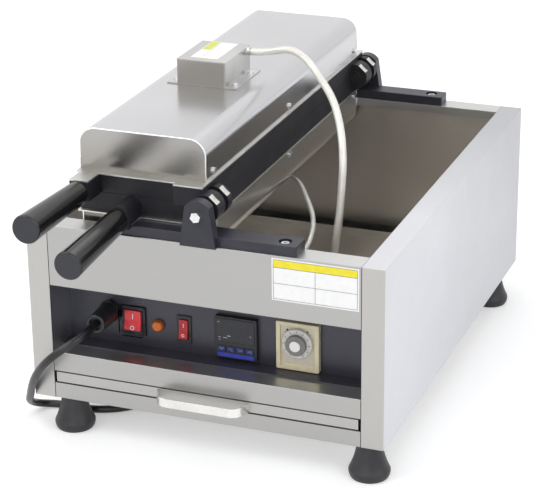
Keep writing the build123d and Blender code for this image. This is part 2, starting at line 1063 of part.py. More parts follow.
with BuildPart() as timer_knob:
    rod_y(timer_x, dial_z, skirt_front, skirt_back, skirt_radius)
    fillet(timer_knob.faces().sort_by(Axis.Y)[0].edges(), skirt_edge)
    rod_y(
        timer_x,
        dial_z,
        skirt_front + skirt_wall,
        skirt_back,
        skirt_radius - skirt_wall,
        Mode.SUBTRACT,
    )
    rod_y(timer_x, dial_z, knob_front, skirt_back, knob_radius)
    fillet(timer_knob.faces().sort_by(Axis.Y)[0].edges(), knob_edge)
    rod_y(timer_x, dial_z, skirt_back, panel_y + knob_spindle_reach, knob_spindle_radius)
    rod_y(timer_x, dial_z, knob_front - cap_depth, knob_front, cap_radius)
    fillet(timer_knob.faces().sort_by(Axis.Y)[0].edges(), cap_edge)
save(timer_knob.part, "timer_knob")

# Terminal block on the compartment's floor
floor_top = compartment_floor_z + sheet
with BuildPart() as terminal_block:
    block(
        terminal_x - terminal_length / 2,
        terminal_x + terminal_length / 2,
        front_y + terminal_setback,
        front_y + terminal_setback + terminal_width,
        floor_top,
        floor_top + terminal_height,
    )
    row_y = front_y + terminal_setback + terminal_width / 2
    with Locations((terminal_x, row_y, floor_top + terminal_height)):
        with GridLocations(terminal_pitch, 1, terminal_count, 1):
            Hole(terminal_hole_radius, depth=terminal_hole_depth)
save(terminal_block.part, "terminal_block")

# Cable gland: a hexagon on the panel, a long compression nut, and a locknut behind the panel
hex_front = panel_y - gland_hex_depth
nut_front = hex_front - gland_nut_depth
mouth_back = nut_front + gland_mouth_depth
with BuildPart() as cable_gland:
    with BuildSketch(Plane(origin=(gland_x, hex_front, gland_z), z_dir=(0, -1, 0))):
        Circle(gland_nut_radius)
    with BuildSketch(Plane(origin=(gland_x, nut_front, gland_z), z_dir=(0, -1, 0))):
        Circle(gland_nut_front_radius)
    loft()
    fillet(cable_gland.faces().sort_by(Axis.Y)[0].edges(), gland_nut_edge)
    rod_y(gland_x, gland_z, nut_front, mouth_back, gland_mouth_radius, Mode.SUBTRACT)
    with BuildSketch(Plane(origin=(gland_x, panel_y, gland_z), z_dir=(0, -1, 0))):
        RegularPolygon(gland_flats / 2, 6, major_radius=False)
    extrude(amount=gland_hex_depth)
    rod_y(gland_x, gland_z, panel_y, panel_y + gland_thread_depth, gland_thread_radius)
    with BuildSketch(Plane(origin=(gland_x, panel_back_y, gland_z), z_dir=(0, 1, 0))):
        RegularPolygon(gland_flats / 2, 6, major_radius=False)
    extrude(amount=gland_locknut_depth)
save(cable_gland.part, "cable_gland")

# Feet: turned rubber cones, each held by a bolt with its nut inside the base
for name, (x, y) in foot_places.items():
    with BuildPart() as foot:
        with BuildSketch(Plane(origin=(x, y, 0), x_dir=(1, 0, 0), z_dir=(0, -1, 0))):
            with BuildLine():
                shoulder = (foot_wide_radius, foot_flange_height + foot_flange_round)
                Line((0, 0), (foot_base_radius, 0))
                lip = (foot_wide_radius - foot_lip_inset, foot_lip_height)
                ThreePointArc((foot_base_radius, 0), lip, shoulder)
                ThreePointArc(
                    shoulder,
                    (foot_top_radius + foot_waist_swell, foot_height / 2 + foot_waist_rise),
                    (foot_top_radius, foot_height),
                )
                Line((foot_top_radius, foot_height), (0, foot_height))
                Line((0, foot_height), (0, 0))
            make_face()
        revolve(axis=Axis((x, y, 0), (0, 0, 1)))
        rod_z(x, y, 0, foot_height, foot_hole_radius, Mode.SUBTRACT)
        rod_z(x, y, 0, foot_pocket_depth, foot_pocket_radius, Mode.SUBTRACT)
    save(foot.part, name)
with BuildPart() as foot_bolts:
    for x, y in foot_places.values():
        bolt_top = base_z + sheet + foot_nut_height + foot_nut_proud
        rod_z(x, y, foot_pocket_depth, bolt_top, foot_bolt_radius)
        rod_z(x, y, foot_pocket_depth - foot_head_height, foot_pocket_depth, foot_head_radius)
    with BuildSketch(Plane.XY.offset(base_z + sheet)):
        with Locations(*foot_places.values()):
            RegularPolygon(foot_nut_flats / 2, 6, major_radius=False, rotation=foot_nut_turn)
    extrude(amount=foot_nut_height)
save(foot_bolts.part, "foot_bolts")


def bracket(face_y, inward, setback, width, screw_y):
    """A cast hinge bracket: a bar over the flange, and an ear that carries the pivot pin."""
    bar_near = face_y + inward * setback
    bar_far = bar_near + inward * width
    ear_out = face_y - inward * ear_overhang
    with BuildPart() as casting:
        block(-bar_half_length, bar_half_length, bar_near, bar_far, top_z, bar_top_z)
        fillet(casting.edges().filter_by(Axis.Z), bar_corner)
        fillet(casting.faces().sort_by(Axis.Z)[-1].edges(), bar_edge)
        low = min(ear_out, ear_out + inward * ear_thickness)
        with BuildSketch(Plane(origin=(0, low, axis_z), x_dir=(1, 0, 0), z_dir=(0, -1, 0))):
            half_base = ear_base_width / 2
            lean = math.asin(ear_top_radius / math.hypot(half_base, axis_rise))
            rise = math.atan2(axis_rise, half_base)
            angle = math.pi / 2 - (rise - lean)
            touch_x = ear_top_radius * math.cos(math.pi / 2 - angle)
            touch_z = ear_top_radius * math.sin(math.pi / 2 - angle)
            with BuildLine():
                Line((-half_base, -axis_rise), (half_base, -axis_rise))
                Line((half_base, -axis_rise), (touch_x, touch_z))
                ThreePointArc((touch_x, touch_z), (0, ear_top_radius), (-touch_x, touch_z))
                Line((-touch_x, touch_z), (-half_base, -axis_rise))
            make_face()
        extrude(amount=-ear_thickness)
        rod_y(0, axis_z, low, low + ear_thickness, pin_radius + running_gap, Mode.SUBTRACT)
        for x in (-bracket_screw_x, bracket_screw_x):
            rod_z(x, screw_y, top_z, bar_top_z, bracket_screw_radius, Mode.SUBTRACT)
            rod_z(
                x,
                screw_y,
                bar_top_z - counterbore_depth,
                bar_top_z,
                counterbore_radius,
                Mode.SUBTRACT,
            )
    return casting.part


save(bracket(front_y, 1, bar_setback, bar_width, bracket_screw_y), "front_bracket")
save(bracket(rear_y, -1, rear_bar_setback, rear_bar_width, rear_screw_y), "rear_bracket")
with BuildPart() as bracket_screws:
    for screw_y in (bracket_screw_y, rear_screw_y):
        for x in (-bracket_screw_x, bracket_screw_x):
            seat = bar_top_z - counterbore_depth
            rod_z(x, screw_y, seat, seat + bracket_head_height, bracket_head_radius)
            head_top = seat + bracket_head_height
            rod_z(x, screw_y, head_top - bracket_socket, head_top, bracket_socket, Mode.SUBTRACT)
            rod_z(x, screw_y, seat - bracket_screw_length, seat, bracket_screw_radius)
save(bracket_screws.part, "bracket_screws")

# Two short pivot pins, each drawn against its ear by a hexagon bolt
pin_spans = (
    (ear_front, lower_hubs[0][1] + pin_end_gap),
    (upper_hubs[1][0] - pin_end_gap, ear_rear),
)
with BuildPart() as hinge_shaft:
    for start, end in pin_spans:
        rod_y(0, axis_z, start, end, pin_radius)
    front_bore_end = ear_front + pivot_bolt_length
    rear_bore_end = ear_rear - pivot_bolt_length
    rod_y(0, axis_z, ear_front, front_bore_end, pivot_bolt_radius, Mode.SUBTRACT)
    rod_y(0, axis_z, rear_bore_end, ear_rear, pivot_bolt_radius, Mode.SUBTRACT)
save(hinge_shaft.part, "hinge_shaft")
with BuildPart() as pivot_bolts:
    with BuildSketch(Plane(origin=(0, ear_front, axis_z), x_dir=(1, 0, 0), z_dir=(0, -1, 0))):
        RegularPolygon(pivot_bolt_flats / 2, 6, major_radius=False, rotation=pivot_bolt_turn)
    extrude(amount=pivot_bolt_head)
    with BuildSketch(Plane(origin=(0, ear_rear, axis_z), x_dir=(1, 0, 0), z_dir=(0, 1, 0))):
        RegularPolygon(pivot_bolt_flats / 2, 6, major_radius=False, rotation=pivot_bolt_turn)
    extrude(amount=pivot_bolt_head)
    rod_y(0, axis_z, ear_front, front_bore_end, pivot_bolt_radius)
    rod_y(0, axis_z, rear_bore_end, ear_rear, pivot_bolt_radius)
save(pivot_bolts.part, "pivot_bolts")


fish_ys = [
    mould_middle_y + (i - (fish_count - 1) / 2) * fish_pitch for i in range(fish_count)
]
tail_outline = ((24, 8), (56, 27), (50, 0), (56, -27), (24, -8))
tail_floor_outline = ((27, 4), (50, 21), (46, 0), (50, -21), (27, -4))
eye_place = (-38, 7)
gill_place = (-28, 0)
scale_places = ((-20, 0), (-9, 9), (-9, -9), (3, 0), (14, 8), (14, -8))
tail_rays = [
    Location((tail_ray_x, step * tail_ray_pitch, 0), (0, 0, step * tail_ray_fan))
    for step in (1, 0, -1)
]


def fish_plane(x, y, z, side):
    """A sketch plane in a mould, with its X along the model's X, looking into the casting."""
    return Plane(origin=(x, y, z), x_dir=(1, 0, 0), z_dir=(0, 0, side))


def grip_place(side, distance):
    """A place on the axis of a grip, this far in front of the face of its lug."""
    casting_back = parting_gap / 2 + mould_thickness
    if side > 0:
        x = lug_left + lug_width / 2
        y = mould_front - lug_reach
        z = axis_z + casting_back + plate_thickness - upper_grip_drop
        tilt = math.radians(upper_grip_tilt)
    else:
        x = boss_x
        y = mould_front - boss_reach
        z = axis_z - casting_back + lower_grip_rise
        tilt = math.radians(lower_grip_tilt)
    axis = Plane(origin=(x, y, z), x_dir=(1, 0, 0), z_dir=(0, -math.cos(tilt), math.sin(tilt)))
    return axis.offset(distance).location


def grip_rod(side, start, end, radius, mode=Mode.ADD):
    """A cylinder on the axis of a grip, between two distances in front of the lug."""
    with Locations(grip_place(side, (start + end) / 2)):
        Cylinder(radius, end - start, mode=mode)


def mould_half(side, own_hubs, other_hubs):
    """One cast mould half, above (side 1) or below (side -1) the parting plane."""
    face = axis_z + side * parting_gap / 2
    back = face + side * mould_thickness
    with BuildPart() as half:
        block(mould_left, mould_right, mould_front, mould_rear, face, back)
        fillet(half.edges().filter_by(Axis.Z), mould_corner)
        pad_left = mould_right - pad_width
        rear_pad = lower_hubs[1][1] + hub_clearance
        block(pad_left, mould_right, mould_rear - lug_root, rear_pad, face, back)
        if side > 0:
            front_pad = mould_front - front_pad_reach
            block(pad_left, mould_right, front_pad, mould_front + lug_root, face, back)
            lug_front = mould_front - lug_reach
            block(lug_left, lug_left + lug_width, lug_front, mould_front + lug_root, face, back)
        else:
            lug_front = mould_front - boss_reach
            arch = boss_width / 2
            shoulder = face - arch
            bar_front = front_y + bar_setback - boss_bar_gap
            block(boss_x - arch, boss_x + arch, lug_front, mould_front + lug_root, back, shoulder)
            block(boss_x - arch, boss_x + arch, lug_front, bar_front, back - boss_drop, back)
            rod_y(boss_x, shoulder, lug_front, mould_front + lug_root, arch)
        grip_rod(side, -stud_in_lug, collar_gap, stud_radius, Mode.SUBTRACT)
        for start, end in (
            (other_hubs[0][0] - hub_clearance, other_hubs[0][1] + hub_clearance),
            (other_hubs[1][0] - hub_clearance, other_hubs[1][1] + hub_clearance),
            (upper_hubs[0][1], lower_hubs[0][0]),
            (upper_hubs[1][1], lower_hubs[1][0]),
        ):
            rod_y(0, axis_z, start, end, hub_radius + hub_clearance, Mode.SUBTRACT)
        for start, end in own_hubs:
            rod_y(0, axis_z, start, end, hub_radius)
            flat_end = min(end, start + hub_flat_length)
            angle = math.radians(hub_flat_angle)
            reach = hub_flat_reach + hub_radius / 2
            with Locations(
                Location(
                    (reach * math.cos(angle), (start + flat_end) / 2, axis_z + reach * math.sin(angle)),
                    (0, -hub_flat_angle, 0),
                )
            ):
                Box(hub_radius, flat_end - start, 2 * hub_radius, mode=Mode.SUBTRACT)
        for start, end in pin_spans:
            rod_y(0, axis_z, start, end, pin_radius + running_gap, Mode.SUBTRACT)
        body_x = mould_middle_x - fish_body_shift
        floor = face + side * fish_depth
        ridge = floor - side * fish_relief
        for fish_y in fish_ys:
            with BuildSketch(fish_plane(body_x, fish_y, face, side)):
                Ellipse(fish_body_length, fish_body_height)
            with BuildSketch(fish_plane(body_x, fish_y, floor, side)):
                Ellipse(fish_body_length - fish_draft, fish_body_height - fish_draft)
            loft(mode=Mode.SUBTRACT)
            with BuildSketch(fish_plane(mould_middle_x, fish_y, face, side)):
                with BuildLine():
                    Polyline(*tail_outline, close=True)
                make_face()
            with BuildSketch(fish_plane(mould_middle_x, fish_y, floor, side)):
                with BuildLine():
                    Polyline(*tail_floor_outline, close=True)
                make_face()
            loft(mode=Mode.SUBTRACT)
            with BuildSketch(fish_plane(mould_middle_x, fish_y, ridge, side)):
                with Locations(eye_place):
                    Circle(eye_radius)
                with Locations(*scale_places):
                    Circle(scale_radius)
                    Circle(scale_radius - ridge_width, mode=Mode.SUBTRACT)
                with Locations(gill_place):
                    Rectangle(ridge_width, gill_length)
                with Locations(*tail_rays):
                    Rectangle(tail_ray_length, ridge_width)
            extrude(amount=fish_relief + ridge_root)
    return half.part


lower_mould = mould_half(-1, lower_hubs, upper_hubs)
upper_mould = mould_half(1, upper_hubs, lower_hubs)
save(lower_mould, "lower_mould")
save(upper_mould, "upper_mould")


def cover_screw_places():
    """The side screws of a cover: X of the wall, the way out of it, and Y."""
    for wall_x, outward in ((cover_left, -1), (cover_right, 1)):
        yield wall_x, outward, cover_front + cover_screw_front_inset
        yield wall_x, outward, (cover_front + cover_rear) / 2 + cover_screw_middle_shift
        yield wall_x, outward, cover_rear - cover_screw_rear_inset


# The stainless covers, their backing plates, and what lies between each cover and its casting
upper_cover_top = axis_z + parting_gap / 2 + mould_thickness + plate_thickness + cover_height
box_front_y = front_y + box_front
box_rear_y = box_front_y + box_depth
box_screws = [
    (x, y)
    for x in (box_left - box_flange / 2, box_right + box_flange / 2)
    for y in (box_front_y + box_screw_inset, box_rear_y - box_screw_inset)
]
fitting_x = lower_hose_route[0][0] - lower_fitting_size / 2
fitting_y = lower_hose_route[0][1]
grip_start = collar_gap + collar_length
for name, side in (("upper", 1), ("lower", -1)):
    back = axis_z + side * (parting_gap / 2 + mould_thickness)
    heater_out = back + side * heater_thickness
    plate_out = back + side * plate_thickness
    cover_out = plate_out + side * cover_height
    screw_z = plate_out + side * cover_screw_rise

    with BuildPart() as heater:
        block(
            mould_left + heater_inset,
            mould_right - heater_inset,
            mould_front + heater_inset,
            mould_rear - heater_inset,
            back,
            heater_out,
        )
        for dy in (-heater_post_spacing / 2, heater_post_spacing / 2):
            rod_z(
                mould_middle_x,
                mould_middle_y + dy,
                heater_out,
                heater_out + side * heater_post_height,
                heater_post_radius,
            )
    save(heater.part, f"{name}_heater")

    with BuildPart() as insulation:
        block(
            cover_left + insulation_margin,
            cover_right - insulation_margin,
            cover_front + insulation_margin,
            cover_rear - insulation_margin,
            heater_out,
            back + side * insulation_height,
        )
        for dy in (-heater_post_spacing / 2, heater_post_spacing / 2):
            rod_z(
                mould_middle_x,
                mould_middle_y + dy,
                heater_out,
                heater_out + side * heater_post_height,
                heater_post_radius,
                Mode.SUBTRACT,
            )
    save(insulation.part, f"{name}_insulation")

    with BuildPart() as backing_plate:
        plate_right = mould_right + plate_edge
        plate_front = mould_front - plate_front_reach
        pad_left = mould_right - pad_width
        rear_pad = lower_hubs[1][1] + hub_clearance
        block(mould_left, plate_right, plate_front, mould_rear, back, plate_out)
        block(pad_left, plate_right, mould_rear, rear_pad, back, plate_out)
        if side > 0:
            block(
                pad_left,
                plate_right,
                mould_front - front_pad_reach,
                plate_front,
                back,
                plate_out,
            )
            block(
                lug_left,
                lug_left + lug_width,
                mould_front - lug_reach,
                plate_front,
                back,
                plate_out,
            )
        else:
            block(
                boss_x - boss_width / 2,
                boss_x + boss_width / 2,
                front_y + bar_setback - boss_bar_gap,
                plate_front,
                back,
                plate_out,
            )
        lip_top = plate_out + side * lip_height
        block(
            cover_left + sheet,
            cover_right - sheet,
            cover_front + sheet,
            cover_rear - sheet,
            plate_out,
            lip_top,
        )
        block(
            cover_left + 2 * sheet,
            cover_right - 2 * sheet,
            cover_front + 2 * sheet,
            cover_rear - 2 * sheet,
            plate_out,
            lip_top,
            Mode.SUBTRACT,
        )
        block(
            cover_left + plate_window_margin,
            cover_right - plate_window_margin,
            cover_front + plate_window_margin,
            cover_rear - plate_window_margin,
            back,
            plate_out,
            Mode.SUBTRACT,
        )
        for wall_x, outward, y in cover_screw_places():
            inside = wall_x - outward * cover_screw_length
            rod_x(y, screw_z, wall_x, inside, cover_screw_radius, Mode.SUBTRACT)
    save(backing_plate.part, f"{name}_backing_plate")

    with BuildPart() as cover:
        block(cover_left, cover_right, cover_front, cover_rear, plate_out, cover_out)
        faces = cover.faces().sort_by(Axis.Z)
        outer_face = faces[-1] if side > 0 else faces[0]
        fillet(outer_face.edges().filter_by(Axis.Y), cover_edge_radius)
        faces = cover.faces().filter_by(Axis.Z).sort_by(Axis.Z)
        offset(amount=-sheet, openings=faces[0] if side > 0 else faces[-1])
        for wall_x, outward, y in cover_screw_places():
            inside = wall_x - outward * cover_screw_length
            rod_x(y, screw_z, wall_x, inside, cover_screw_radius, Mode.SUBTRACT)
        if side > 0:
            for x, y in box_screws:
                rod_z(x, y, cover_out - sheet, cover_out, box_screw_radius, Mode.SUBTRACT)
        else:
            block(
                fitting_x - lower_fitting_size / 2,
                fitting_x + lower_fitting_size / 2,
                fitting_y - lower_fitting_size / 2,
                fitting_y + lower_fitting_size / 2,
                cover_out - lower_fitting_height,
                cover_out,
            )
    save(cover.part, f"{name}_cover")

    with BuildPart() as cover_screws:
        for wall_x, outward, y in cover_screw_places():
            head_x = wall_x + outward * cover_screw_head
            inside = wall_x - outward * cover_screw_length
            rod_x(y, screw_z, wall_x, head_x, cover_screw_head_radius)
            rod_x(y, screw_z, wall_x, inside, cover_screw_radius)
    save(cover_screws.part, f"{name}_cover_screws")

    with BuildPart() as handle_stud:
        grip_rod(side, -stud_in_lug, grip_start + grip_bore, stud_radius)
        grip_rod(side, collar_gap, grip_start, collar_radius)
    save(handle_stud.part, f"{name}_handle_stud")

    with BuildPart() as grip:
        with Locations(grip_place(side, grip_start + grip_length / 2)):
            Cone(grip_inner_radius, grip_outer_radius, grip_length)
        fillet(grip.edges().filter_by(GeomType.CIRCLE), grip_edge)
        grip_rod(side, grip_start, grip_start + grip_bore, stud_radius, Mode.SUBTRACT)
    save(grip.part, f"{name}_grip")

# Junction box on the upper cover, with the ferrule of the hose in its right wall
with BuildPart() as junction_box:
    box_top = upper_cover_top + box_height
    block(box_left, box_right, box_front_y, box_rear_y, upper_cover_top, box_top)
    fillet(junction_box.edges().filter_by(Axis.Z), sheet)
    fillet(junction_box.faces().sort_by(Axis.Z)[-1].edges(), sheet / 2)
    block(
        box_left + sheet,
        box_right - sheet,
        box_front_y + sheet,
        box_rear_y - sheet,
        upper_cover_top,
        box_top - sheet,
        Mode.SUBTRACT,
    )
    flange_top = upper_cover_top + sheet
    for wall_x, outward in ((box_left, -1), (box_right, 1)):
        flange_x = wall_x + outward * box_flange
        wall_in = wall_x - outward * sheet
        block(wall_in, flange_x, box_front_y, box_rear_y, upper_cover_top, flange_top)
    for x, y in box_screws:
        rod_z(x, y, upper_cover_top, flange_top, box_screw_radius, Mode.SUBTRACT)
    hose_start = upper_hose_route[0]
    rod_x(hose_start[1], hose_start[2], box_right - sheet, hose_start[0], ferrule_radius)
save(junction_box.part, "junction_box")
with BuildPart() as junction_box_screws:
    for x, y in box_screws:
        rod_z(x, y, flange_top, flange_top + box_screw_head, box_screw_head_radius)
        rod_z(x, y, upper_cover_top - sheet, flange_top, box_screw_radius)
save(junction_box_screws.part, "junction_box_screws")

# The two braided hoses that lead the heaters' wires into the compartment
save(tube(upper_hose_route, upper_hose_diameter, "upper_hose"), "upper_hose")
save(tube(lower_hose_route, lower_hose_diameter, "lower_hose"), "lower_hose")

# Mains cord: out of the gland, down round the front left corner, and back under the body
cord_points = [
    (-125.0, 7.0, 93.0),
    (-125.0, -7.0, 93.0),
    (-125.8, -20.0, 92.0),
    (-129.5, -32.0, 89.5),
    (-137.5, -41.0, 84.0),
    (-149.0, -45.5, 75.5),
    (-162.0, -44.5, 63.5),
    (-174.0, -38.0, 49.5),
    (-185.5, -28.5, 33.5),
    (-196.5, -15.0, 15.5),
    (-207.0, 0.5, -3.5),
    (-213.0, 9.0, -12.0),
    (-218.5, 22.0, -22.5),
    (-217.0, 34.5, -30.5),
    (-208.0, 43.5, -33.75),
    (-195.0, 46.5, -33.75),
    (-178.0, 46.0, -33.75),
    (-156.0, 46.5, -33.75),
    (-134.0, 54.0, -33.75),
    (-114.0, 70.0, -33.75),
    (-99.0, 96.0, -33.75),
    (-89.0, 135.0, -33.75),
    (-83.0, 195.0, -33.75),
    (-82.0, 275.0, -33.75),
    (-86.0, 365.0, -33.75),
    (-94.0, 455.0, -33.75),
    (-104.0, 535.0, -33.75),
    (-115.0, 600.0, -33.75),
]
cord_route = placed(cord_points)
save(tube(cord_route, cord_diameter, "power_cord"), "power_cord")


def biarc(start, start_way, end, end_way):
    """Two arcs that join two points with the given unit directions, smooth where they meet."""
    chord = end - start
    ways = start_way + end_way
    spread = 2 * (1 - start_way.dot(end_way))
    along = chord.dot(ways)
    reach = (math.sqrt(along**2 + spread * chord.dot(chord)) - along) / spread
    middle = (start + start_way * reach + end - end_way * reach) / 2
    TangentArc(start, middle, tangent=start_way)
    TangentArc(middle, end, tangent=(end - end_way * reach - middle).normalized())


# The rest of the cord lies in a coil behind the body: it spirals in on the floor, climbs a layer
# and spirals out again, with the plug at its end
coil_start = Vector(*cord_route[-1])
coil_heading = (coil_start - Vector(*cord_route[-2])).normalized()
coil_entry = coil_start + coil_heading * cord_diameter
coil_left = Vector(-coil_heading.Y, coil_heading.X, 0)
coil_centre = coil_entry + coil_left * coil_radius
first_angle = math.atan2(-coil_left.Y, -coil_left.X)
coil_turns = 2 * coil_turns_per_layer + coil_climb_turns


def coil_place(turns):
    """A point of the coil and its direction, after this many turns."""
    inward = min(turns, coil_turns_per_layer)
    outward = max(turns - coil_turns_per_layer - coil_climb_turns, 0)
    radius = coil_radius - coil_pitch * (inward - outward)
    share = min(max((turns - coil_turns_per_layer) / coil_climb_turns, 0), 1)
    height = coil_pitch * share**2 * (3 - 2 * share)
    climb = coil_pitch * 6 * share * (1 - share) / (coil_climb_turns * 2 * math.pi)
    growth = 0.0
    if 0 < turns <= coil_turns_per_layer:
        growth = -coil_pitch / (2 * math.pi)
    if coil_turns_per_layer + coil_climb_turns <= turns < coil_turns:
        growth = coil_pitch / (2 * math.pi)
    angle = first_angle + 2 * math.pi * turns
    outwards = Vector(math.cos(angle), math.sin(angle), 0)
    forwards = Vector(-math.sin(angle), math.cos(angle), 0)
    way = forwards * radius + outwards * growth + Vector(0, 0, climb)
    return coil_centre + outwards * radius + Vector(0, 0, height), way.normalized()


coil_stations = [
    coil_place(i * coil_turns / coil_quarter_turns) for i in range(coil_quarter_turns + 1)
]
with BuildPart() as cord_coil:
    with BuildLine() as coil_path:
        Line(coil_start, coil_entry)
        for (start, start_way), (end, end_way) in zip(coil_stations, coil_stations[1:]):
            biarc(start, start_way, end, end_way)
        coil_exit, exit_way = coil_stations[-1]
        coil_end = coil_exit + exit_way * cord_diameter
        Line(coil_exit, coil_end)
    with BuildSketch(Plane(origin=coil_start, z_dir=coil_heading)):
        Circle(cord_diameter / 2)
    sweep(path=coil_path.wires()[0])
save(cord_coil.part, "cord_coil")
coil_wire = coil_path.wires()[0]
coil_points = [coil_wire @ (i / coil_samples) for i in range(coil_samples + 1)]
steps_apart = int(coil_apart * cord_diameter / coil_wire.length * coil_samples)
least = min(
    (a - b).length for i, a in enumerate(coil_points) for b in coil_points[i + steps_apart:]
)
coil_section = math.pi * cord_diameter**2 / 4
print("coil length", round(coil_wire.length, 1), "least gap", round(least - cord_diameter, 2))
print("coil volume ratio", round(cord_coil.part.volume / (coil_section * coil_wire.length), 5))

# Plug with a neck for the cord and two flat pins
plug_plane = Plane(origin=coil_end, x_dir=(-exit_way.Y, exit_way.X, 0), z_dir=exit_way)
plug_height = 2 * coil_end.Z
with BuildPart() as plug:
    with BuildSketch(plug_plane):
        Circle(plug_neck_radius)
    extrude(amount=plug_neck_length)
    with BuildSketch(plug_plane.offset(plug_neck_length)):
        RectangleRounded(plug_width, plug_height, plug_corner)
    extrude(amount=plug_length)
    with BuildSketch(plug_plane.offset(plug_neck_length + plug_length)):
        with GridLocations(plug_pin_spacing, 1, 2, 1):
            Rectangle(plug_pin_thickness, plug_pin_width)
    extrude(amount=plug_pin_length)
save(plug.part, "plug")
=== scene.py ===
import math

import bmesh
import bpy
from mathutils import Matrix, Vector
from mathutils.bvhtree import BVHTree


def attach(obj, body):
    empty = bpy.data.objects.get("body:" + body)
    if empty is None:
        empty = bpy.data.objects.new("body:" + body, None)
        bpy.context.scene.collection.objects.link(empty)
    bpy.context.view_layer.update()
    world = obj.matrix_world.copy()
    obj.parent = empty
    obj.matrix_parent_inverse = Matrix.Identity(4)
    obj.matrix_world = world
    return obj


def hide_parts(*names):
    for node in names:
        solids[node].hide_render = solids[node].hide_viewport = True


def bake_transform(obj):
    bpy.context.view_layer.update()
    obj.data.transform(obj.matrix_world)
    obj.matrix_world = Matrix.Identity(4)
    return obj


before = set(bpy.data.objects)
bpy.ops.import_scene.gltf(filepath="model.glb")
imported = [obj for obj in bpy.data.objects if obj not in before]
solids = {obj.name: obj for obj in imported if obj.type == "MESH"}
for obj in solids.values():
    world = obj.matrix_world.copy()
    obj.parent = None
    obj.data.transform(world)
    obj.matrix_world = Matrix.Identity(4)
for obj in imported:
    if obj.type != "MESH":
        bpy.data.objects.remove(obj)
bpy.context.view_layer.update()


# The view is a catalogue one: a long lens at chest height, to the right of the front, that
# takes in the machine from the cord at its left to the rubber foot at its far right.
lens_place = Vector((0.756306, -1.974823, 1.015271))
lens_right = Vector((0.934131, 0.356751, -0.011302))
lens_forward = Vector((-0.334601, 0.864232, -0.375692))
lens_up = lens_right.cross(lens_forward)
lens = bpy.data.cameras.new("catalogue_lens")
lens.lens = 135.38
lens.sensor_width = 36.0
lens.clip_end = 40.0
camera = bpy.data.objects.new("catalogue_camera", lens)
bpy.context.scene.collection.objects.link(camera)
turn = Matrix((lens_right, lens_up, -lens_forward)).transposed().to_4x4()
camera.matrix_world = Matrix.Translation(lens_place) @ turn
bpy.context.scene.camera = camera


# The mains cord is a black rubber sheath over three cores, 8.5 mm thick and two metres long.
# It leaves the gland at the front left, drops past the corner of the body, folds on the table
# and runs back behind the machine, where the rest lies in a flat coil of four turns.
front_foot = Vector((0, -0.2147, 0.038))
cord_thickness = 0.0085
cord_knots = [
    front_foot + Vector(knot)
    for knot in (
        (-0.125, 0.007, 0.093),
        (-0.125, -0.007, 0.093),
        (-0.1258, -0.020, 0.092),
        (-0.1295, -0.032, 0.0895),
        (-0.1375, -0.041, 0.084),
        (-0.149, -0.0455, 0.0755),
        (-0.162, -0.0445, 0.0635),
        (-0.174, -0.038, 0.0495),
        (-0.1855, -0.0285, 0.0335),
        (-0.1965, -0.015, 0.0155),
        (-0.207, 0.0005, -0.0035),
        (-0.213, 0.009, -0.012),
        (-0.2185, 0.022, -0.0225),
        (-0.217, 0.0345, -0.0305),
        (-0.208, 0.0435, -0.03375),
        (-0.195, 0.0465, -0.03375),
        (-0.178, 0.046, -0.03375),
        (-0.156, 0.0465, -0.03375),
        (-0.134, 0.054, -0.03375),
        (-0.114, 0.070, -0.03375),
        (-0.099, 0.096, -0.03375),
        (-0.089, 0.135, -0.03375),
        (-0.083, 0.195, -0.03375),
        (-0.082, 0.275, -0.03375),
        (-0.086, 0.365, -0.03375),
        (-0.094, 0.455, -0.03375),
        (-0.104, 0.535, -0.03375),
        (-0.115, 0.600, -0.03375),
    )
]
coil_reach = 0.056
turn_pitch = 0.0102
turns_inward = 1.75
turns_climbing = 0.5
knots_a_turn = 16
heading = (cord_knots[-1] - cord_knots[-2]).normalized()
coil_start = cord_knots[-1] + heading * cord_thickness
leftward = Vector((-heading.y, heading.x, 0))
coil_middle = coil_start + leftward * coil_reach
first_angle = math.atan2(-leftward.y, -leftward.x)
cord_knots.append(coil_start)
for knot in range(1, int((2 * turns_inward + turns_climbing) * knots_a_turn) + 1):
    turns = knot / knots_a_turn
    wound_out = max(turns - turns_inward - turns_climbing, 0)
    reach = coil_reach - turn_pitch * (min(turns, turns_inward) - wound_out)
    climbed = min(max((turns - turns_inward) / turns_climbing, 0), 1)
    lift = turn_pitch * climbed**2 * (3 - 2 * climbed)
    angle = first_angle + 2 * math.pi * turns
    outwards = Vector((math.cos(angle), math.sin(angle), 0))
    cord_knots.append(coil_middle + outwards * reach + Vector((0, 0, lift)))
plug_way = Vector((-math.sin(angle), math.cos(angle), 0))
plug_root = cord_knots[-1] + plug_way * cord_thickness
cord_knots.append(plug_root)


def flexible_run(name, knots, thickness=0.0):
    """A smooth line drawn by its control points, round in section where it has a thickness."""
    data = bpy.data.curves.new(name, "CURVE")
    data.dimensions = "3D"
    line = data.splines.new("NURBS")
    line.points.add(len(knots) - 1)
    for point, knot in zip(line.points, knots):
        point.co = (*knot, 1)
    line.order_u = 3
    line.use_endpoint_u = True
    data.resolution_u = 10
    data.bevel_depth = thickness / 2
    data.bevel_resolution = 8
    run = bpy.data.objects.new(name, data)
    bpy.context.scene.collection.objects.link(run)
    return run


def shader_step(tree, kind, **settings):
    """Adds one step. A capital names an input, to be joined or set; a small letter an option."""
    step = tree.nodes.new("ShaderNode" + kind)
    for name, value in settings.items():
        if name[0].islower():
            setattr(step, name, value)
            continue
        socket = step.inputs[name.replace("_", " ")]
        if isinstance(value, bpy.types.NodeSocket):
            tree.links.new(value, socket)
        else:
            socket.default_value = value
    return step


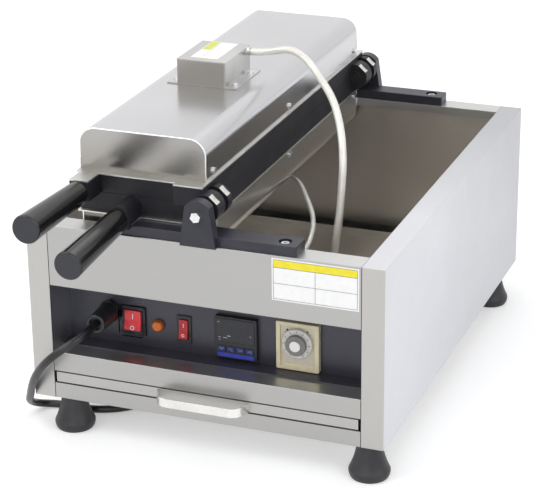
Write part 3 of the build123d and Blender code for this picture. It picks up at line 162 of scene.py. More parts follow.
def cloud(tree, size, stretch=(1, 1, 1), low=0.35, high=0.65):
    """A cloudy pattern from 0 to 1 in the machine's own space, its patches about this size."""
    place = shader_step(tree, "TexCoord").outputs["Object"]
    drawn = shader_step(tree, "Mapping", Vector=place, Scale=stretch).outputs["Vector"]
    noise = shader_step(tree, "TexNoise", Vector=drawn, Scale=1 / size, Detail=4.0)
    patches = noise.outputs["Fac"]
    spread = shader_step(tree, "MapRange", Value=patches, From_Min=low, From_Max=high)
    return spread.outputs["Result"]


def between(tree, share, low, high):
    """Turns a pattern from 0 to 1 into one from low to high."""
    spread = shader_step(tree, "MapRange", Value=share, To_Min=low, To_Max=high)
    return spread.outputs["Result"]


def mixed(tree, share, first, second):
    """The first colour, which goes over to the second where the share is 1."""
    blend = tree.nodes.new("ShaderNodeMix")
    blend.data_type = "RGBA"
    for index, value in ((0, share), (6, first), (7, second)):
        if isinstance(value, bpy.types.NodeSocket):
            tree.links.new(value, blend.inputs[index])
        else:
            blend.inputs[index].default_value = (*value, 1) if index else value
    return blend.outputs[2]


def surface(name, tone, other_tone, patches, gloss, metal, grain, soft_edge=0.0, **sockets):
    """A finish whose tone drifts in patches, whose gloss varies, and whose grain stands in relief.

    patches is a size and a stretch, gloss the least and most roughness, grain a size, a stretch
    and a height; soft_edge rounds the look of sharp folds by that radius.
    """
    finish = bpy.data.materials.new(name)
    finish.use_nodes = True
    tree = finish.node_tree
    shader = tree.nodes["Principled BSDF"]
    drift = cloud(tree, *patches)
    tree.links.new(mixed(tree, drift, tone, other_tone), shader.inputs["Base Color"])
    grain_size, grain_stretch, grain_height = grain
    hand_size = 0.045
    grain_share = 0.6
    fine = cloud(tree, grain_size, grain_stretch, 0.3, 0.7)
    handling = cloud(tree, hand_size, (1, 1, 1), 0.3, 0.7)
    even = shader_step(tree, "Math", operation="MULTIPLY_ADD")
    tree.links.new(fine, even.inputs[0])
    even.inputs[1].default_value = grain_share
    tree.links.new(between(tree, handling, 0.0, 1 - grain_share), even.inputs[2])
    rough = between(tree, even.outputs["Value"], *gloss)
    tree.links.new(rough, shader.inputs["Roughness"])
    relief = shader_step(tree, "Bump", Height=fine, Distance=grain_height)
    if soft_edge:
        fold = shader_step(tree, "Bevel", samples=4, Radius=soft_edge)
        tree.links.new(fold.outputs["Normal"], relief.inputs["Normal"])
    tree.links.new(relief.outputs["Normal"], shader.inputs["Normal"])
    shader.inputs["Metallic"].default_value = metal
    for socket, value in sockets.items():
        shader.inputs[socket.replace("_", " ")].default_value = value
    return finish


def slice_of(tree, root, way, start, end):
    """A mask across a way: 0 at one distance from the root along it, and 1 at the other."""
    aim = shader_step(tree, "VectorMath", operation="DOT_PRODUCT")
    tree.links.new(shader_step(tree, "TexCoord").outputs["Object"], aim.inputs[0])
    aim.inputs[1].default_value = way
    base = Vector(root).dot(Vector(way))
    reach = aim.outputs["Value"]
    spread = shader_step(tree, "MapRange", Value=reach, From_Min=base + start, From_Max=base + end)
    return spread.outputs["Result"]


def product(tree, first, second):
    """Two patterns multiplied, such as two masks that must both hold."""
    times = shader_step(tree, "Math", operation="MULTIPLY")
    for socket, value in zip(times.inputs, (first, second)):
        if isinstance(value, bpy.types.NodeSocket):
            tree.links.new(value, socket)
        else:
            socket.default_value = value
    return times.outputs["Value"]


def retone(finish, share, tone):
    """Lays another tone over a finish where the share is 1."""
    tree = finish.node_tree
    socket = tree.nodes["Principled BSDF"].inputs["Base Color"]
    tree.links.new(mixed(tree, share, socket.links[0].from_socket, tone), socket)


sheath_rubber = surface(
    "black_sheath_rubber",
    (0.006, 0.006, 0.007),
    (0.012, 0.012, 0.014),
    (0.03, (1, 1, 1)),
    (0.24, 0.38),
    0.0,
    (0.0012, (1, 1, 1), 0.00006),
)
cord = flexible_run("mains_cord", cord_knots, cord_thickness)
cord.data.materials.append(sheath_rubber)
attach(cord, "base")
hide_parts("power_cord", "cord_coil")


def dress(finish, *names):
    """Gives these solids of the machine their finish."""
    for name in names:
        for place in solids[name].material_slots:
            place.material = finish


# The plug is moulded in the same black rubber round two nickelled pins, with a ribbed neck.
# Only its far end, past the body, is bare metal.
plug_finish = surface(
    "moulded_plug",
    (0.015, 0.015, 0.016),
    (0.028, 0.028, 0.030),
    (0.012, (1, 1, 1)),
    (0.40, 0.55),
    0.0,
    (0.0008, (1, 1, 1), 0.00005),
    soft_edge=0.0012,
)
tree = plug_finish.node_tree
past_body = (0.0762, 0.0764)
pins = slice_of(tree, plug_root, plug_way, *past_body)
retone(plug_finish, pins, (0.62, 0.58, 0.50))
tree.links.new(pins, tree.nodes["Principled BSDF"].inputs["Metallic"])
dress(plug_finish, "plug")


# The two heater leads run in pale glass braid: a thick one from the junction box on the upper
# cover, down into the well, and a thin one from under the lower cover. Both end in glands on
# the compartment's rear wall.
upper_lead_knots = [
    front_foot + Vector(knot)
    for knot in (
        (-0.047, 0.270, 0.3285),
        (-0.035, 0.270, 0.3285),
        (-0.020, 0.270, 0.3315),
        (-0.005, 0.2675, 0.3355),
        (0.011, 0.260, 0.337),
        (0.030, 0.247, 0.332),
        (0.054, 0.227, 0.316),
        (0.075, 0.203, 0.304),
        (0.090, 0.180, 0.287),
        (0.099, 0.163, 0.269),
        (0.103, 0.153, 0.247),
        (0.103, 0.149, 0.223),
        (0.101, 0.149, 0.197),
        (0.097, 0.151, 0.171),
        (0.093, 0.155, 0.149),
        (0.0885, 0.163, 0.132),
        (0.0835, 0.172, 0.117),
        (0.0795, 0.180, 0.1035),
        (0.0765, 0.1845, 0.0895),
        (0.074, 0.1842, 0.076),
        (0.072, 0.1792, 0.0642),
        (0.0706, 0.170, 0.055),
        (0.070, 0.158, 0.050),
        (0.070, 0.143, 0.050),
    )
]
lower_lead_knots = [
    front_foot + Vector(knot)
    for knot in (
        (-0.042, 0.330, 0.161),
        (-0.028, 0.330, 0.161),
        (-0.012, 0.322, 0.161),
        (0.001, 0.303, 0.1615),
        (0.021, 0.264, 0.164),
        (0.040, 0.230, 0.1615),
        (0.050, 0.207, 0.159),
        (0.056, 0.188, 0.156),
        (0.059, 0.170, 0.151),
        (0.060, 0.154, 0.147),
        (0.060, 0.141, 0.147),
    )
]


def places_along(name, knots):
    """The points that the smooth line of these control points goes through."""
    run = flexible_run(name, knots)
    mesh = bpy.data.meshes.new_from_object(run)
    places = [vertex.co.copy() for vertex in mesh.vertices]
    data = run.data
    bpy.data.objects.remove(run)
    bpy.data.curves.remove(data)
    bpy.data.meshes.remove(mesh)
    return places


def length_of(places):
    """How long a row of points is."""
    return sum((b - a).length for a, b in zip(places, places[1:]))


def set_down(name, worked):
    """Puts a worked mesh in the scene under this name."""
    data = bpy.data.meshes.new(name)
    worked.to_mesh(data)
    worked.free()
    piece = bpy.data.objects.new(name, data)
    bpy.context.scene.collection.objects.link(piece)
    return piece


def sleeve(name, places, radius, sides=28, before=0.0):
    """A round sleeve along a row of points, mapped so that a weave runs evenly round it."""
    mesh = bmesh.new()
    wrap = mesh.loops.layers.uv.new("wrap")
    way = (places[1] - places[0]).normalized()
    across = way.orthogonal().normalized()
    rings, runs, run = [], [], before
    for index, place in enumerate(places):
        after = places[min(index + 1, len(places) - 1)]
        prior = places[max(index - 1, 0)]
        new_way = (after - prior).normalized()
        across = way.rotation_difference(new_way) @ across
        across = (across - new_way * across.dot(new_way)).normalized()
        way = new_way
        side = way.cross(across)
        run += (place - prior).length / (2 * math.pi * radius)
        runs.append(run)
        ring = []
        for k in range(sides):
            angle = 2 * math.pi * k / sides
            sideways = side * (radius * math.sin(angle))
            ring.append(mesh.verts.new(place + across * (radius * math.cos(angle)) + sideways))
        rings.append(ring)
    for index in range(len(rings) - 1):
        for k in range(sides):
            corners = (
                (rings[index][k], k / sides, runs[index]),
                (rings[index][(k + 1) % sides], (k + 1) / sides, runs[index]),
                (rings[index + 1][(k + 1) % sides], (k + 1) / sides, runs[index + 1]),
                (rings[index + 1][k], k / sides, runs[index + 1]),
            )
            face = mesh.faces.new([corner[0] for corner in corners])
            face.smooth = True
            for loop, (_, u, v) in zip(face.loops, corners):
                loop[wrap].uv = (u, v)
    mesh.faces.new(list(reversed(rings[0])))
    mesh.faces.new(rings[-1])
    mesh.normal_update()
    return set_down(name, mesh)


glass_braid = bpy.data.materials.new("pale_glass_braid")
glass_braid.use_nodes = True
tree = glass_braid.node_tree
shader = tree.nodes["Principled BSDF"]
wrap_place = shader_step(tree, "TexCoord").outputs["UV"]
strands = []
for slant in (1, -1):
    laid = shader_step(tree, "Mapping", Vector=wrap_place, Scale=(1, slant, 1))
    strand = shader_step(
        tree,
        "TexWave",
        wave_type="BANDS",
        bands_direction="DIAGONAL",
        Vector=laid.outputs["Vector"],
        Scale=11.3,
        Distortion=0.25,
        Detail=1.0,
    )
    strands.append(strand.outputs["Fac"])
crossing = shader_step(tree, "Math", operation="MAXIMUM")
tree.links.new(strands[0], crossing.inputs[0])
tree.links.new(strands[1], crossing.inputs[1])
braid_height = crossing.outputs["Value"]
soiled = cloud(tree, 0.02)
strand_top_tone = mixed(tree, soiled, (0.93, 0.92, 0.88), (0.85, 0.83, 0.78))
# The weave's low parts get a darker tone: painted shade between the strands.
tree.links.new(mixed(tree, braid_height, (0.50, 0.48, 0.43), strand_top_tone), shader.inputs["Base Color"])
tree.links.new(between(tree, braid_height, 0.50, 0.24), shader.inputs["Roughness"])
shader.inputs["Metallic"].default_value = 0.9
braid_relief = shader_step(tree, "Bump", Height=braid_height, Distance=0.0003)
tree.links.new(braid_relief.outputs["Normal"], shader.inputs["Normal"])

upper_lead_thickness = 0.0085
lead_parting_height = 0.188
upper_lead = places_along("upper_lead_line", upper_lead_knots)
falling = max(index for index, place in enumerate(upper_lead) if place.z > lead_parting_height)
upper_lead_top = sleeve("upper_lead_arch", upper_lead[: falling + 1], upper_lead_thickness / 2)
upper_lead_tail = sleeve(
    "upper_lead_tail",
    upper_lead[falling:],
    upper_lead_thickness / 2,
    before=length_of(upper_lead[: falling + 1]) / (math.pi * upper_lead_thickness),
)
for piece, route in (
    (upper_lead_top, upper_lead[: falling + 1]),
    (upper_lead_tail, upper_lead[falling:]),
):
    piece.data.materials.append(glass_braid)
    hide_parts("upper_hose")
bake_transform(upper_lead_top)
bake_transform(upper_lead_tail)

lower_lead_thickness = 0.0055
lower_lead_route = places_along("lower_lead_line", lower_lead_knots)
lower_lead = sleeve("lower_lead", lower_lead_route, lower_lead_thickness / 2, sides=20)
lower_lead.data.materials.append(glass_braid)
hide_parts("lower_hose")
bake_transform(lower_lead)


# The machine stands on a white studio table that runs on as its own backdrop. Soft lamps hang
# at the left, the right, the front and over it, and a white room is seen in the steel.
def seen_by(tree, *rays):
    """1 for a ray of any of these kinds, and 0 for the others."""
    path = shader_step(tree, "LightPath")
    seen = path.outputs[rays[0]]
    for ray in rays[1:]:
        either = shader_step(tree, "Math", operation="MAXIMUM")
        tree.links.new(seen, either.inputs[0])
        tree.links.new(path.outputs[ray], either.inputs[1])
        seen = either.outputs["Value"]
    return seen


table = bmesh.new()
bmesh.ops.create_grid(table, x_segments=8, y_segments=8, size=9.0)
studio_table = set_down("studio_table", table)
table_white = bpy.data.materials.new("table_white")
table_white.use_nodes = True
tree = table_white.node_tree
shader = tree.nodes["Principled BSDF"]
tree.links.new(
    mixed(tree, cloud(tree, 0.6), (0.80, 0.80, 0.81), (0.83, 0.83, 0.835)),
    shader.inputs["Base Color"],
)
shader.inputs["Roughness"].default_value = 0.6
shader.inputs["Specular IOR Level"].default_value = 0.2
seen = seen_by(tree, "Is Camera Ray", "Is Glossy Ray", "Is Transmission Ray")
tree.links.new(between(tree, seen, 0.0, 0.32), shader.inputs["Emission Strength"])
shader.inputs["Emission Color"].default_value = (1, 1, 1, 1)
studio_table.data.materials.append(table_white)

room = bpy.data.worlds.new("white_room")
room.use_nodes = True
bpy.context.scene.world = room
tree = room.node_tree
room_light = tree.nodes["Background"]
seen = seen_by(tree, "Is Camera Ray", "Is Transmission Ray", "Is Glossy Ray")
tree.links.new(between(tree, seen, 0.55, 1.0), room_light.inputs["Strength"])
room_light.inputs["Color"].default_value = (1, 1, 1, 1)


def soft_lamp(name, place, aim, width, power, tint=(1, 1, 1)):
    """A square soft box that hangs at a place and looks at another."""
    data = bpy.data.lights.new(name, "AREA")
    data.shape = "SQUARE"
    data.size = width
    data.energy = power
    data.color = tint
    lamp = bpy.data.objects.new(name, data)
    lamp.location = place
    lamp.rotation_mode = "QUATERNION"
    lamp.rotation_quaternion = (Vector(aim) - Vector(place)).to_track_quat("-Z", "Y")
    bpy.context.scene.collection.objects.link(lamp)


soft_lamp("lamp_left", (-1.9, -1.3, 2.6), (0, 0, 0.2), 2.4, 42)
soft_lamp("lamp_right", (2.4, -1.2, 1.9), (0, 0, 0.2), 1.8, 22, (0.96, 0.98, 1.0))
soft_lamp("lamp_over", (0.2, 1.4, 2.8), (0, 0, 0.2), 2.4, 22)
soft_lamp("lamp_front", (0.2, -3.0, 1.3), (0, 0, 0.15), 1.4, 12)
bpy.context.scene.view_settings.view_transform = "Standard"


# The body is folded from brushed stainless sheet: two box-section sides, an apron with a top
# flange, a rail and a tray at the front, and a rear panel, spot-welded together. The front faces
# are brushed across and painted darker, as painted shade. The side sheets are painted a lighter
# bluish grey, as painted light, and darker towards the rear and top, as painted shade. Thin dark
# lines beside the front faces and along the drawer's front are painted shade of the gaps there.
across = (1, 0, 0)
backwards = (0, 1, 0)
upwards = (0, 0, 1)
origin = (0, 0, 0)
front_face = (-0.2140, -0.2142)
front_steel = surface(
    "front_sheet",
    (0.56, 0.56, 0.55),
    (0.62, 0.62, 0.61),
    (0.16, (1, 1, 1.6)),
    (0.28, 0.40),
    1.0,
    (0.0008, (0.01, 1, 1), 0.000003),
    soft_edge=0.0009,
)
# The side sheets' lighter, bluish tone is painted light.
side_steel = surface(
    "side_sheet",
    (0.62, 0.622, 0.650),
    (0.68, 0.683, 0.712),
    (0.30, (1, 1, 1)),
    (0.30, 0.42),
    1.0,
    (0.0008, (1, 0.01, 1), 0.000003),
    soft_edge=0.0009,
)
well_steel = surface(
    "well_sheet",
    (0.63, 0.59, 0.53),
    (0.73, 0.69, 0.63),
    (0.20, (1, 1, 1)),
    (0.30, 0.46),
    1.0,
    (0.0016, (1, 0.02, 1), 0.000015),
    soft_edge=0.0008,
)
# The front faces of these sheets are painted darker: painted shade.
for finish, tone in (
    (front_steel, (0.422, 0.418, 0.408)),
    (side_steel, (0.475, 0.463, 0.447)),
    (well_steel, (0.450, 0.445, 0.432)),
):
    retone(finish, slice_of(finish.node_tree, origin, backwards, *front_face), tone)
tree = side_steel.node_tree
# The side sheets are painted darker towards the rear and top: painted shade.
up_and_back = (0, 1, 0.6)
rear_fade = (0.08, 0.40)
rear_painted_shade = product(tree, slice_of(tree, origin, up_and_back, *rear_fade), 0.9)
retone(side_steel, rear_painted_shade, (0.46, 0.465, 0.49))
# Thin dark lines at the side sheets' front joints are painted shade of the gaps there.
joint_start, joint_end = 0.1759, 0.1756
right_joint = slice_of(tree, origin, across, joint_start, joint_end)
left_joint = slice_of(tree, origin, across, -joint_start, -joint_end)
joints = product(tree, right_joint, left_joint)
joint_gap_shade = product(tree, joints, slice_of(tree, origin, backwards, *front_face))
retone(side_steel, joint_gap_shade, (0.03, 0.03, 0.03))
# Dark lines along the drawer's front and round its opening are painted shade of the gaps.
drawer_edges = (((0.0690, 0.0692),), ((0.0579, 0.0577),))
opening_edges = (((0.0696, 0.0698), (0.0707, 0.0705)), ((0.0558, 0.0560), (0.0568, 0.0566)))
for finish, edges in ((well_steel, drawer_edges), (front_steel, opening_edges)):
    tree = finish.node_tree
    for edge in edges:
        shade = slice_of(tree, origin, backwards, *front_face)
        for limits in edge:
            shade = product(tree, shade, slice_of(tree, origin, upwards, *limits))
        retone(finish, shade, (0.05, 0.05, 0.05))
dress(side_steel, "left_side_panel", "right_side_panel")
dress(front_steel, "front_apron", "front_rail", "base_tray", "rear_panel")
dress(well_steel, "rear_inner_wall", "compartment_box", "drawer_runners", "drawer_tray")


# A blank label is stuck on the apron at the right: white vinyl with a yellow band along its
# top and thin grey rules that divide it in four, with nothing written on it.
def rectangle(left, low, right, high):
    """The corners of an upright rectangle."""
    return [(left, low), (right, low), (right, high), (left, high)]


def strokes(points, width):
    """A line of this width through points, as one narrow rectangle a run."""
    runs = []
    for (x0, z0), (x1, z1) in zip(points, points[1:]):
        run = Vector((x1 - x0, z1 - z0)).normalized() * width / 2
        side = Vector((-run.y, run.x))
        start, end = Vector((x0, z0)) - run, Vector((x1, z1)) + run
        corners = (start - side, end - side, end + side, start + side)
        runs.append([tuple(corner) for corner in corners])
    return runs


def hoop(middle_x, middle_z, inner, outer, parts=28):
    """A flat ring, or a disc where its inner radius is 0, as a fan of pieces."""
    pieces = []
    for part in range(parts):
        first, second = 2 * math.pi * part / parts, 2 * math.pi * (part + 1) / parts
        around = [(outer, first), (outer, second)]
        around += [(inner, second), (inner, first)] if inner else [(0, 0)]
        pieces.append(
            [
                (middle_x + reach * math.cos(angle), middle_z + reach * math.sin(angle))
                for reach, angle in around
            ]
        )
    return pieces


def stuck_on(name, layers, under, body, from_above=False):
    """Thin layers of print laid on the solids that lie behind, or below, their shapes."""
    film = 0.00012
    way = Vector((0, 0, -1)) if from_above else Vector((0, 1, 0))
    grounds = [
        BVHTree.FromPolygons(
            [vertex.co for vertex in solids[solid].data.vertices],
            [face.vertices for face in solids[solid].data.polygons],
        )
        for solid in under
    ]
    mesh = bmesh.new()
    for layer, (_, rings) in enumerate(layers):
        lift = film * (layer + 1)
        for ring in rings:
            corners = []
            for first, second in ring:
                start = Vector((first, second, 1)) if from_above else Vector((first, -1, second))
                reach = min(
                    hit[3] for hit in (ground.ray_cast(start, way) for ground in grounds) if hit[0]
                )
                corners.append(mesh.verts.new(start + way * (reach - lift)))
            face = mesh.faces.new(corners)
            face.material_index = layer
            face.normal_update()
            if face.normal.dot(way) > 0:
                face.normal_flip()
    piece = set_down(name, mesh)
    for finish, _ in layers:
        piece.data.materials.append(finish)
    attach(piece, body)


def ink(name, tone, other_tone, gloss=(0.30, 0.45)):
    """A print or a thin film: its colour, a slight mottle and a fine tooth."""
    return surface(
        name, tone, other_tone, (0.006, (1, 1, 1)), gloss, 0.0, (0.0007, (1, 1, 1), 0.00001)
    )


label_white = ink("label_vinyl", (0.92, 0.92, 0.92), (0.96, 0.96, 0.96))
label_yellow = ink("label_yellow", (0.86, 0.74, 0.02), (0.92, 0.80, 0.04))
label_grey = ink("label_rule", (0.16, 0.16, 0.17), (0.22, 0.22, 0.23))
rule, band_rule = 0.0004, 0.0005
rule_left, rule_right = 0.0808, 0.1712
rule_foot, rule_top = 0.1928, 0.2358
band_foot = 0.2275
halfway_across, halfway_up = 0.126, 0.2100
stuck_on(
    "apron_label",
    (
        (label_white, [rectangle(0.079, 0.191, 0.173, 0.2376)]),
        (label_yellow, [rectangle(rule_left, band_foot, rule_right, rule_top)]),
        (
            label_grey,
            strokes([(rule_left, rule_foot), (rule_right, rule_foot), (rule_right, rule_top)], rule)
            + strokes([(rule_right, rule_top), (rule_left, rule_top), (rule_left, rule_foot)], rule)
            + strokes([(rule_left, band_foot), (rule_right, band_foot)], band_rule)
            + strokes([(halfway_across, band_foot), (halfway_across, rule_foot)], rule)
            + strokes([(rule_left, halfway_up), (rule_right, halfway_up)], rule),
        ),
    ),
    ("front_apron",),
    "base",
)


# The control panel is one folded steel sheet, set back between the apron and the ledge. It has
# a satin slate paint, painted darker towards its foot as a painted reflection of the dark ledge.
slate = surface(
    "slate_paint",
    (0.036, 0.036, 0.054),
    (0.048, 0.048, 0.068),
    (0.05, (1, 1, 1)),
    (0.24, 0.38),
    0.0,
    (0.0006, (1, 1, 1), 0.00003),
    soft_edge=0.0006,
)
# The slate is painted darker towards its foot: a painted reflection of the dark ledge.
ledge_reflection_fade = (0.118, 0.094)
retone(slate, slice_of(slate.node_tree, origin, upwards, *ledge_reflection_fade), (0.034, 0.033, 0.045))
dress(slate, "control_panel")


# The drawer's front carries a bow handle, bent from one flat strip of bright steel. Its grain
# runs along the strip.
bow_steel = surface(
    "bow_strip",
    (0.74, 0.73, 0.70),
    (0.82, 0.81, 0.79),
    (0.03, (1, 1, 1)),
    (0.20, 0.34),
    1.0,
    (0.0010, (0.04, 1, 1), 0.000012),
    soft_edge=0.0006,
)
dress(bow_steel, "drawer_handle")


# Four moulded rubber feet with a wide flange carry the body, each held by a bolt from inside.
# These bolts and all the other screws of the machine are bright zinced steel.
foot_rubber = surface(
    "foot_rubber",
    (0.012, 0.012, 0.015),
    (0.024, 0.024, 0.029),
    (0.02, (1, 1, 1)),
    (0.34, 0.56),
    0.0,
    (0.0010, (1, 1, 0.3), 0.00008),
    soft_edge=0.0010,
)
dress(foot_rubber, "foot_front_left", "foot_front_right", "foot_rear_left", "foot_rear_right")
bright_fastener = surface(
    "zinced_fastener",
    (0.66, 0.66, 0.67),
    (0.78, 0.78, 0.80),
    (0.004, (1, 1, 1)),
    (0.20, 0.38),
    1.0,
    (0.0005, (1, 1, 1), 0.00002),
    soft_edge=0.0004,
)
dress(
    bright_fastener,
    "foot_bolts",
    "bracket_screws",
    "pivot_bolts",
    "junction_box_screws",
    "upper_cover_screws",
    "lower_cover_screws",
)


# The brackets are iron castings under a smooth blue-black paint. The hinge pins in their ears
# are dark steel.
bracket_paint = surface(
    "bracket_paint",
    (0.020, 0.020, 0.031),
    (0.030, 0.030, 0.043),
    (0.03, (1, 1, 1)),
    (0.30, 0.44),
    0.1,
    (0.0013, (1, 1, 1), 0.00007),
    soft_edge=0.0009,
)
dark_pin_steel = surface(
    "dark_pin_steel",
    (0.030, 0.030, 0.036),
    (0.060, 0.058, 0.060),
    (0.008, (1, 1, 1)),
    (0.30, 0.48),
    0.6,
    (0.0008, (1, 0.1, 1), 0.00003),
    soft_edge=0.0005,
)
dress(bracket_paint, "front_bracket", "rear_bracket")
dress(dark_pin_steel, "hinge_shaft")


# The mould halves are iron castings under a thin matt black paint, with the fine pimples of the
# sand in it. Each hub has one small flat, milled bright.
black_casting = surface(
    "painted_casting",
    (0.007, 0.007, 0.011),
    (0.014, 0.014, 0.019),
    (0.03, (1, 1, 1)),
    (0.44, 0.62),
    0.0,
    (0.0011, (1, 1, 1), 0.00012),
    soft_edge=0.0008,
)
tree = black_casting.node_tree
shader = tree.nodes["Principled BSDF"]
shader.inputs["Specular IOR Level"].default_value = 0.4
hinge_line = (0, 0, 0.274)
flat_turn = math.radians(48)
flat_way = (math.cos(flat_turn), 0, math.sin(flat_turn))
flat_inner, flat_outer = (0.0144, 0.0146), (0.0154, 0.0152)
facing = shader_step(tree, "VectorMath", operation="DOT_PRODUCT")
tree.links.new(shader_step(tree, "TexCoord").outputs["Normal"], facing.inputs[0])
facing.inputs[1].default_value = flat_way
square_on = shader_step(
    tree, "MapRange", Value=facing.outputs["Value"], From_Min=0.99, From_Max=0.998
)
milled = product(
    tree,
    product(
        tree,
        slice_of(tree, hinge_line, flat_way, *flat_inner),
        slice_of(tree, hinge_line, flat_way, *flat_outer),
    ),
    square_on.outputs["Result"],
)
retone(black_casting, milled, (0.66, 0.65, 0.62))
tree.links.new(milled, shader.inputs["Metallic"])
dress(black_casting, "upper_mould", "lower_mould")


# A plain rolled steel sheet closes the back of each casting, between it and the cover. It is
# left bare, and its grain runs the long way.
backing_sheet = surface(
    "backing_sheet",
    (0.56, 0.56, 0.53),
    (0.70, 0.70, 0.67),
    (0.05, (1, 1, 1)),
    (0.30, 0.48),
    1.0,
    (0.0020, (1, 0.05, 1), 0.00003),
    soft_edge=0.0004,
)
dress(backing_sheet, "upper_backing_plate", "lower_backing_plate")


# The covers are long troughs of brushed sheet, screwed to the backing sheets, with a welded end
# plate at each end. The end plates are painted darker, and darker still towards their foot, as
# painted shade, and a bright strip round each is a painted highlight on its rounded rim. Their
# grain runs the long way.
cover_steel = surface(
    "cover_sheet",
    (0.595, 0.595, 0.610),
    (0.675, 0.675, 0.690),
    (0.22, (1, 0.5, 1)),
    (0.18, 0.26),
    1.0,
    (0.0007, (1, 0.010, 1), 0.000002),
    soft_edge=0.0010,
)
tree = cover_steel.node_tree
front_plate, rear_plate = (-0.1797, -0.1801), (0.3043, 0.3047)
# The end plates are painted darker, and darker still low down: painted shade.
plate_fade = (0.334, 0.300)
low_plate_shade = product(tree, slice_of(tree, origin, upwards, *plate_fade), 0.6)
for plate in (front_plate, rear_plate):
    end_plate_shade = slice_of(tree, origin, backwards, *plate)
    retone(cover_steel, end_plate_shade, (0.40, 0.388, 0.372))
    retone(cover_steel, product(tree, end_plate_shade, low_plate_shade), (0.27, 0.25, 0.225))
dress(cover_steel, "upper_cover", "lower_cover")
# A bright metal strip round each end plate is a painted highlight on its rounded rim.
rim_highlight = surface(
    "rim_highlight",
    (0.86, 0.86, 0.86),
    (0.94, 0.94, 0.94),
    (0.02, (1, 1, 1)),
    (0.22, 0.34),
    1.0,
    (0.0012, (1, 1, 1), 0.00004),
)
rim_highlight_thickness = 0.0016
corner_reach = 0.018
corner_steps = 12
rim_left, rim_right = -0.1480, -0.0055
rim_foot, rim_top = 0.2975, 0.34145
rim_highlight_line = [Vector((rim_left, 0, rim_foot))]
for middle_x, first_turn in ((rim_left + corner_reach, 180), (rim_right - corner_reach, 90)):
    for step in range(corner_steps + 1):
        turned = math.radians(first_turn - 90 / corner_steps * step)
        over, up = corner_reach * math.cos(turned), corner_reach * math.sin(turned)
        rim_highlight_line.append(Vector((middle_x + over, 0, rim_top - corner_reach + up)))
rim_highlight_line.append(Vector((rim_right, 0, rim_foot)))
for end_name, end_y in (("front", -0.1804), ("rear", 0.3050)):
    for cover, body in (("upper", "upper_mould_half"), ("lower", "lower_mould_half")):
        places = []
        for place in rim_highlight_line:
            height = place.z if cover == "upper" else 2 * hinge_line[2] - place.z
            places.append(Vector((place.x, end_y, height)))
        rim_highlight_strip = sleeve(f"{cover}_cover_{end_name}_seam", places, rim_highlight_thickness / 2, sides=10)
        rim_highlight_strip.data.materials.append(rim_highlight)
        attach(rim_highlight_strip, body)


# The junction box is a small folded box screwed to the upper cover, where the leads are joined.
# A blank white label with one yellow-green patch is stuck on its top.
box_steel = surface(
    "box_sheet",
    (0.56, 0.56, 0.55),
    (0.64, 0.64, 0.63),
    (0.05, (1, 1, 1)),
    (0.27, 0.30),
    1.0,
    (0.0007, (0.02, 1, 1), 0.0000008),
    soft_edge=0.0022,
)
# The box's front face is painted darker: painted shade.
box_front = (-0.0110, -0.0114)
box_shade = slice_of(box_steel.node_tree, origin, backwards, *box_front)
retone(box_steel, box_shade, (0.34, 0.325, 0.30))
dress(box_steel, "junction_box")
patch_green = ink("label_patch", (0.62, 0.66, 0.05), (0.70, 0.72, 0.09))
stuck_on(
    "box_label",
    (
        (label_white, [rectangle(-0.0964, -0.0027, -0.064, 0.0615)]),
        (patch_green, [rectangle(-0.0955, 0.030, -0.086, 0.0605)]),
        (label_grey, strokes([(-0.0838, 0.000), (-0.0838, 0.0600)], 0.0003)),
    ),
    ("junction_box",),
    "upper_mould_half",
    from_above=True,
)


# Under the covers lie mica heaters clamped in tinned steel, and mineral wool over them. The
# leads end at a ceramic terminal block in the closed compartment.
heater_clamp = surface(
    "heater_clamp",
    (0.50, 0.46, 0.40),
    (0.62, 0.59, 0.54),
    (0.03, (1, 1, 1)),
    (0.35, 0.55),
    0.8,
    (0.003, (1, 1, 1), 0.0001),
)
mineral_wool = surface(
    "mineral_wool",
    (0.62, 0.58, 0.48),
    (0.78, 0.74, 0.66),
    (0.01, (1, 1, 1)),
    (0.85, 0.98),
    0.0,
    (0.0022, (1, 0.2, 1), 0.0008),
)
ceramic = surface(
    "ceramic_terminal",
    (0.72, 0.70, 0.63),
    (0.80, 0.78, 0.72),
    (0.01, (1, 1, 1)),
    (0.25, 0.40),
    0.0,
    (0.001, (1, 1, 1), 0.00005),
    soft_edge=0.0006,
)
dress(heater_clamp, "upper_heater", "lower_heater")
dress(mineral_wool, "upper_insulation", "lower_insulation")
dress(ceramic, "terminal_block")


# The two grips are turned from glossy black phenolic on steel studs with a small collar. Their
# free end faces are a little paler and bluer.
pale_end_reach = (0.1203, 0.1207)
for name, root, tilt in (
    ("upper_grip", (-0.13275, -0.2187, 0.28375), 1.4),
    ("lower_grip", (-0.0875, -0.2207, 0.26005), -2.6),
):
    grip_gloss = surface(
        f"{name}_phenolic",
        (0.006, 0.006, 0.007),
        (0.011, 0.011, 0.012),
        (0.03, (1, 1, 1)),
        (0.13, 0.22),
        0.0,
        (0.0016, (1, 0.1, 1), 0.00002),
        soft_edge=0.0008,
    )
    outwards = (0, -math.cos(math.radians(tilt)), math.sin(math.radians(tilt)))
    end_face = slice_of(grip_gloss.node_tree, root, outwards, *pale_end_reach)
    retone(grip_gloss, end_face, (0.020, 0.021, 0.030))
    dress(grip_gloss, name)
dress(bright_fastener, "upper_handle_stud", "lower_handle_stud")


# The gland, the switch housings and the temperature controller's case are moulded in black
# plastic, and are clipped or screwed into holes in the panel.
black_moulding = surface(
    "black_moulding",
    (0.010, 0.010, 0.012),
    (0.018, 0.018, 0.021),
    (0.01, (1, 1, 1)),
    (0.30, 0.46),
    0.0,
    (0.0006, (1, 1, 1), 0.00004),
    soft_edge=0.0006,
)
dress(black_moulding, "power_switch_body", "alarm_switch_body")
dress(black_moulding, "temperature_controller", "cable_gland")


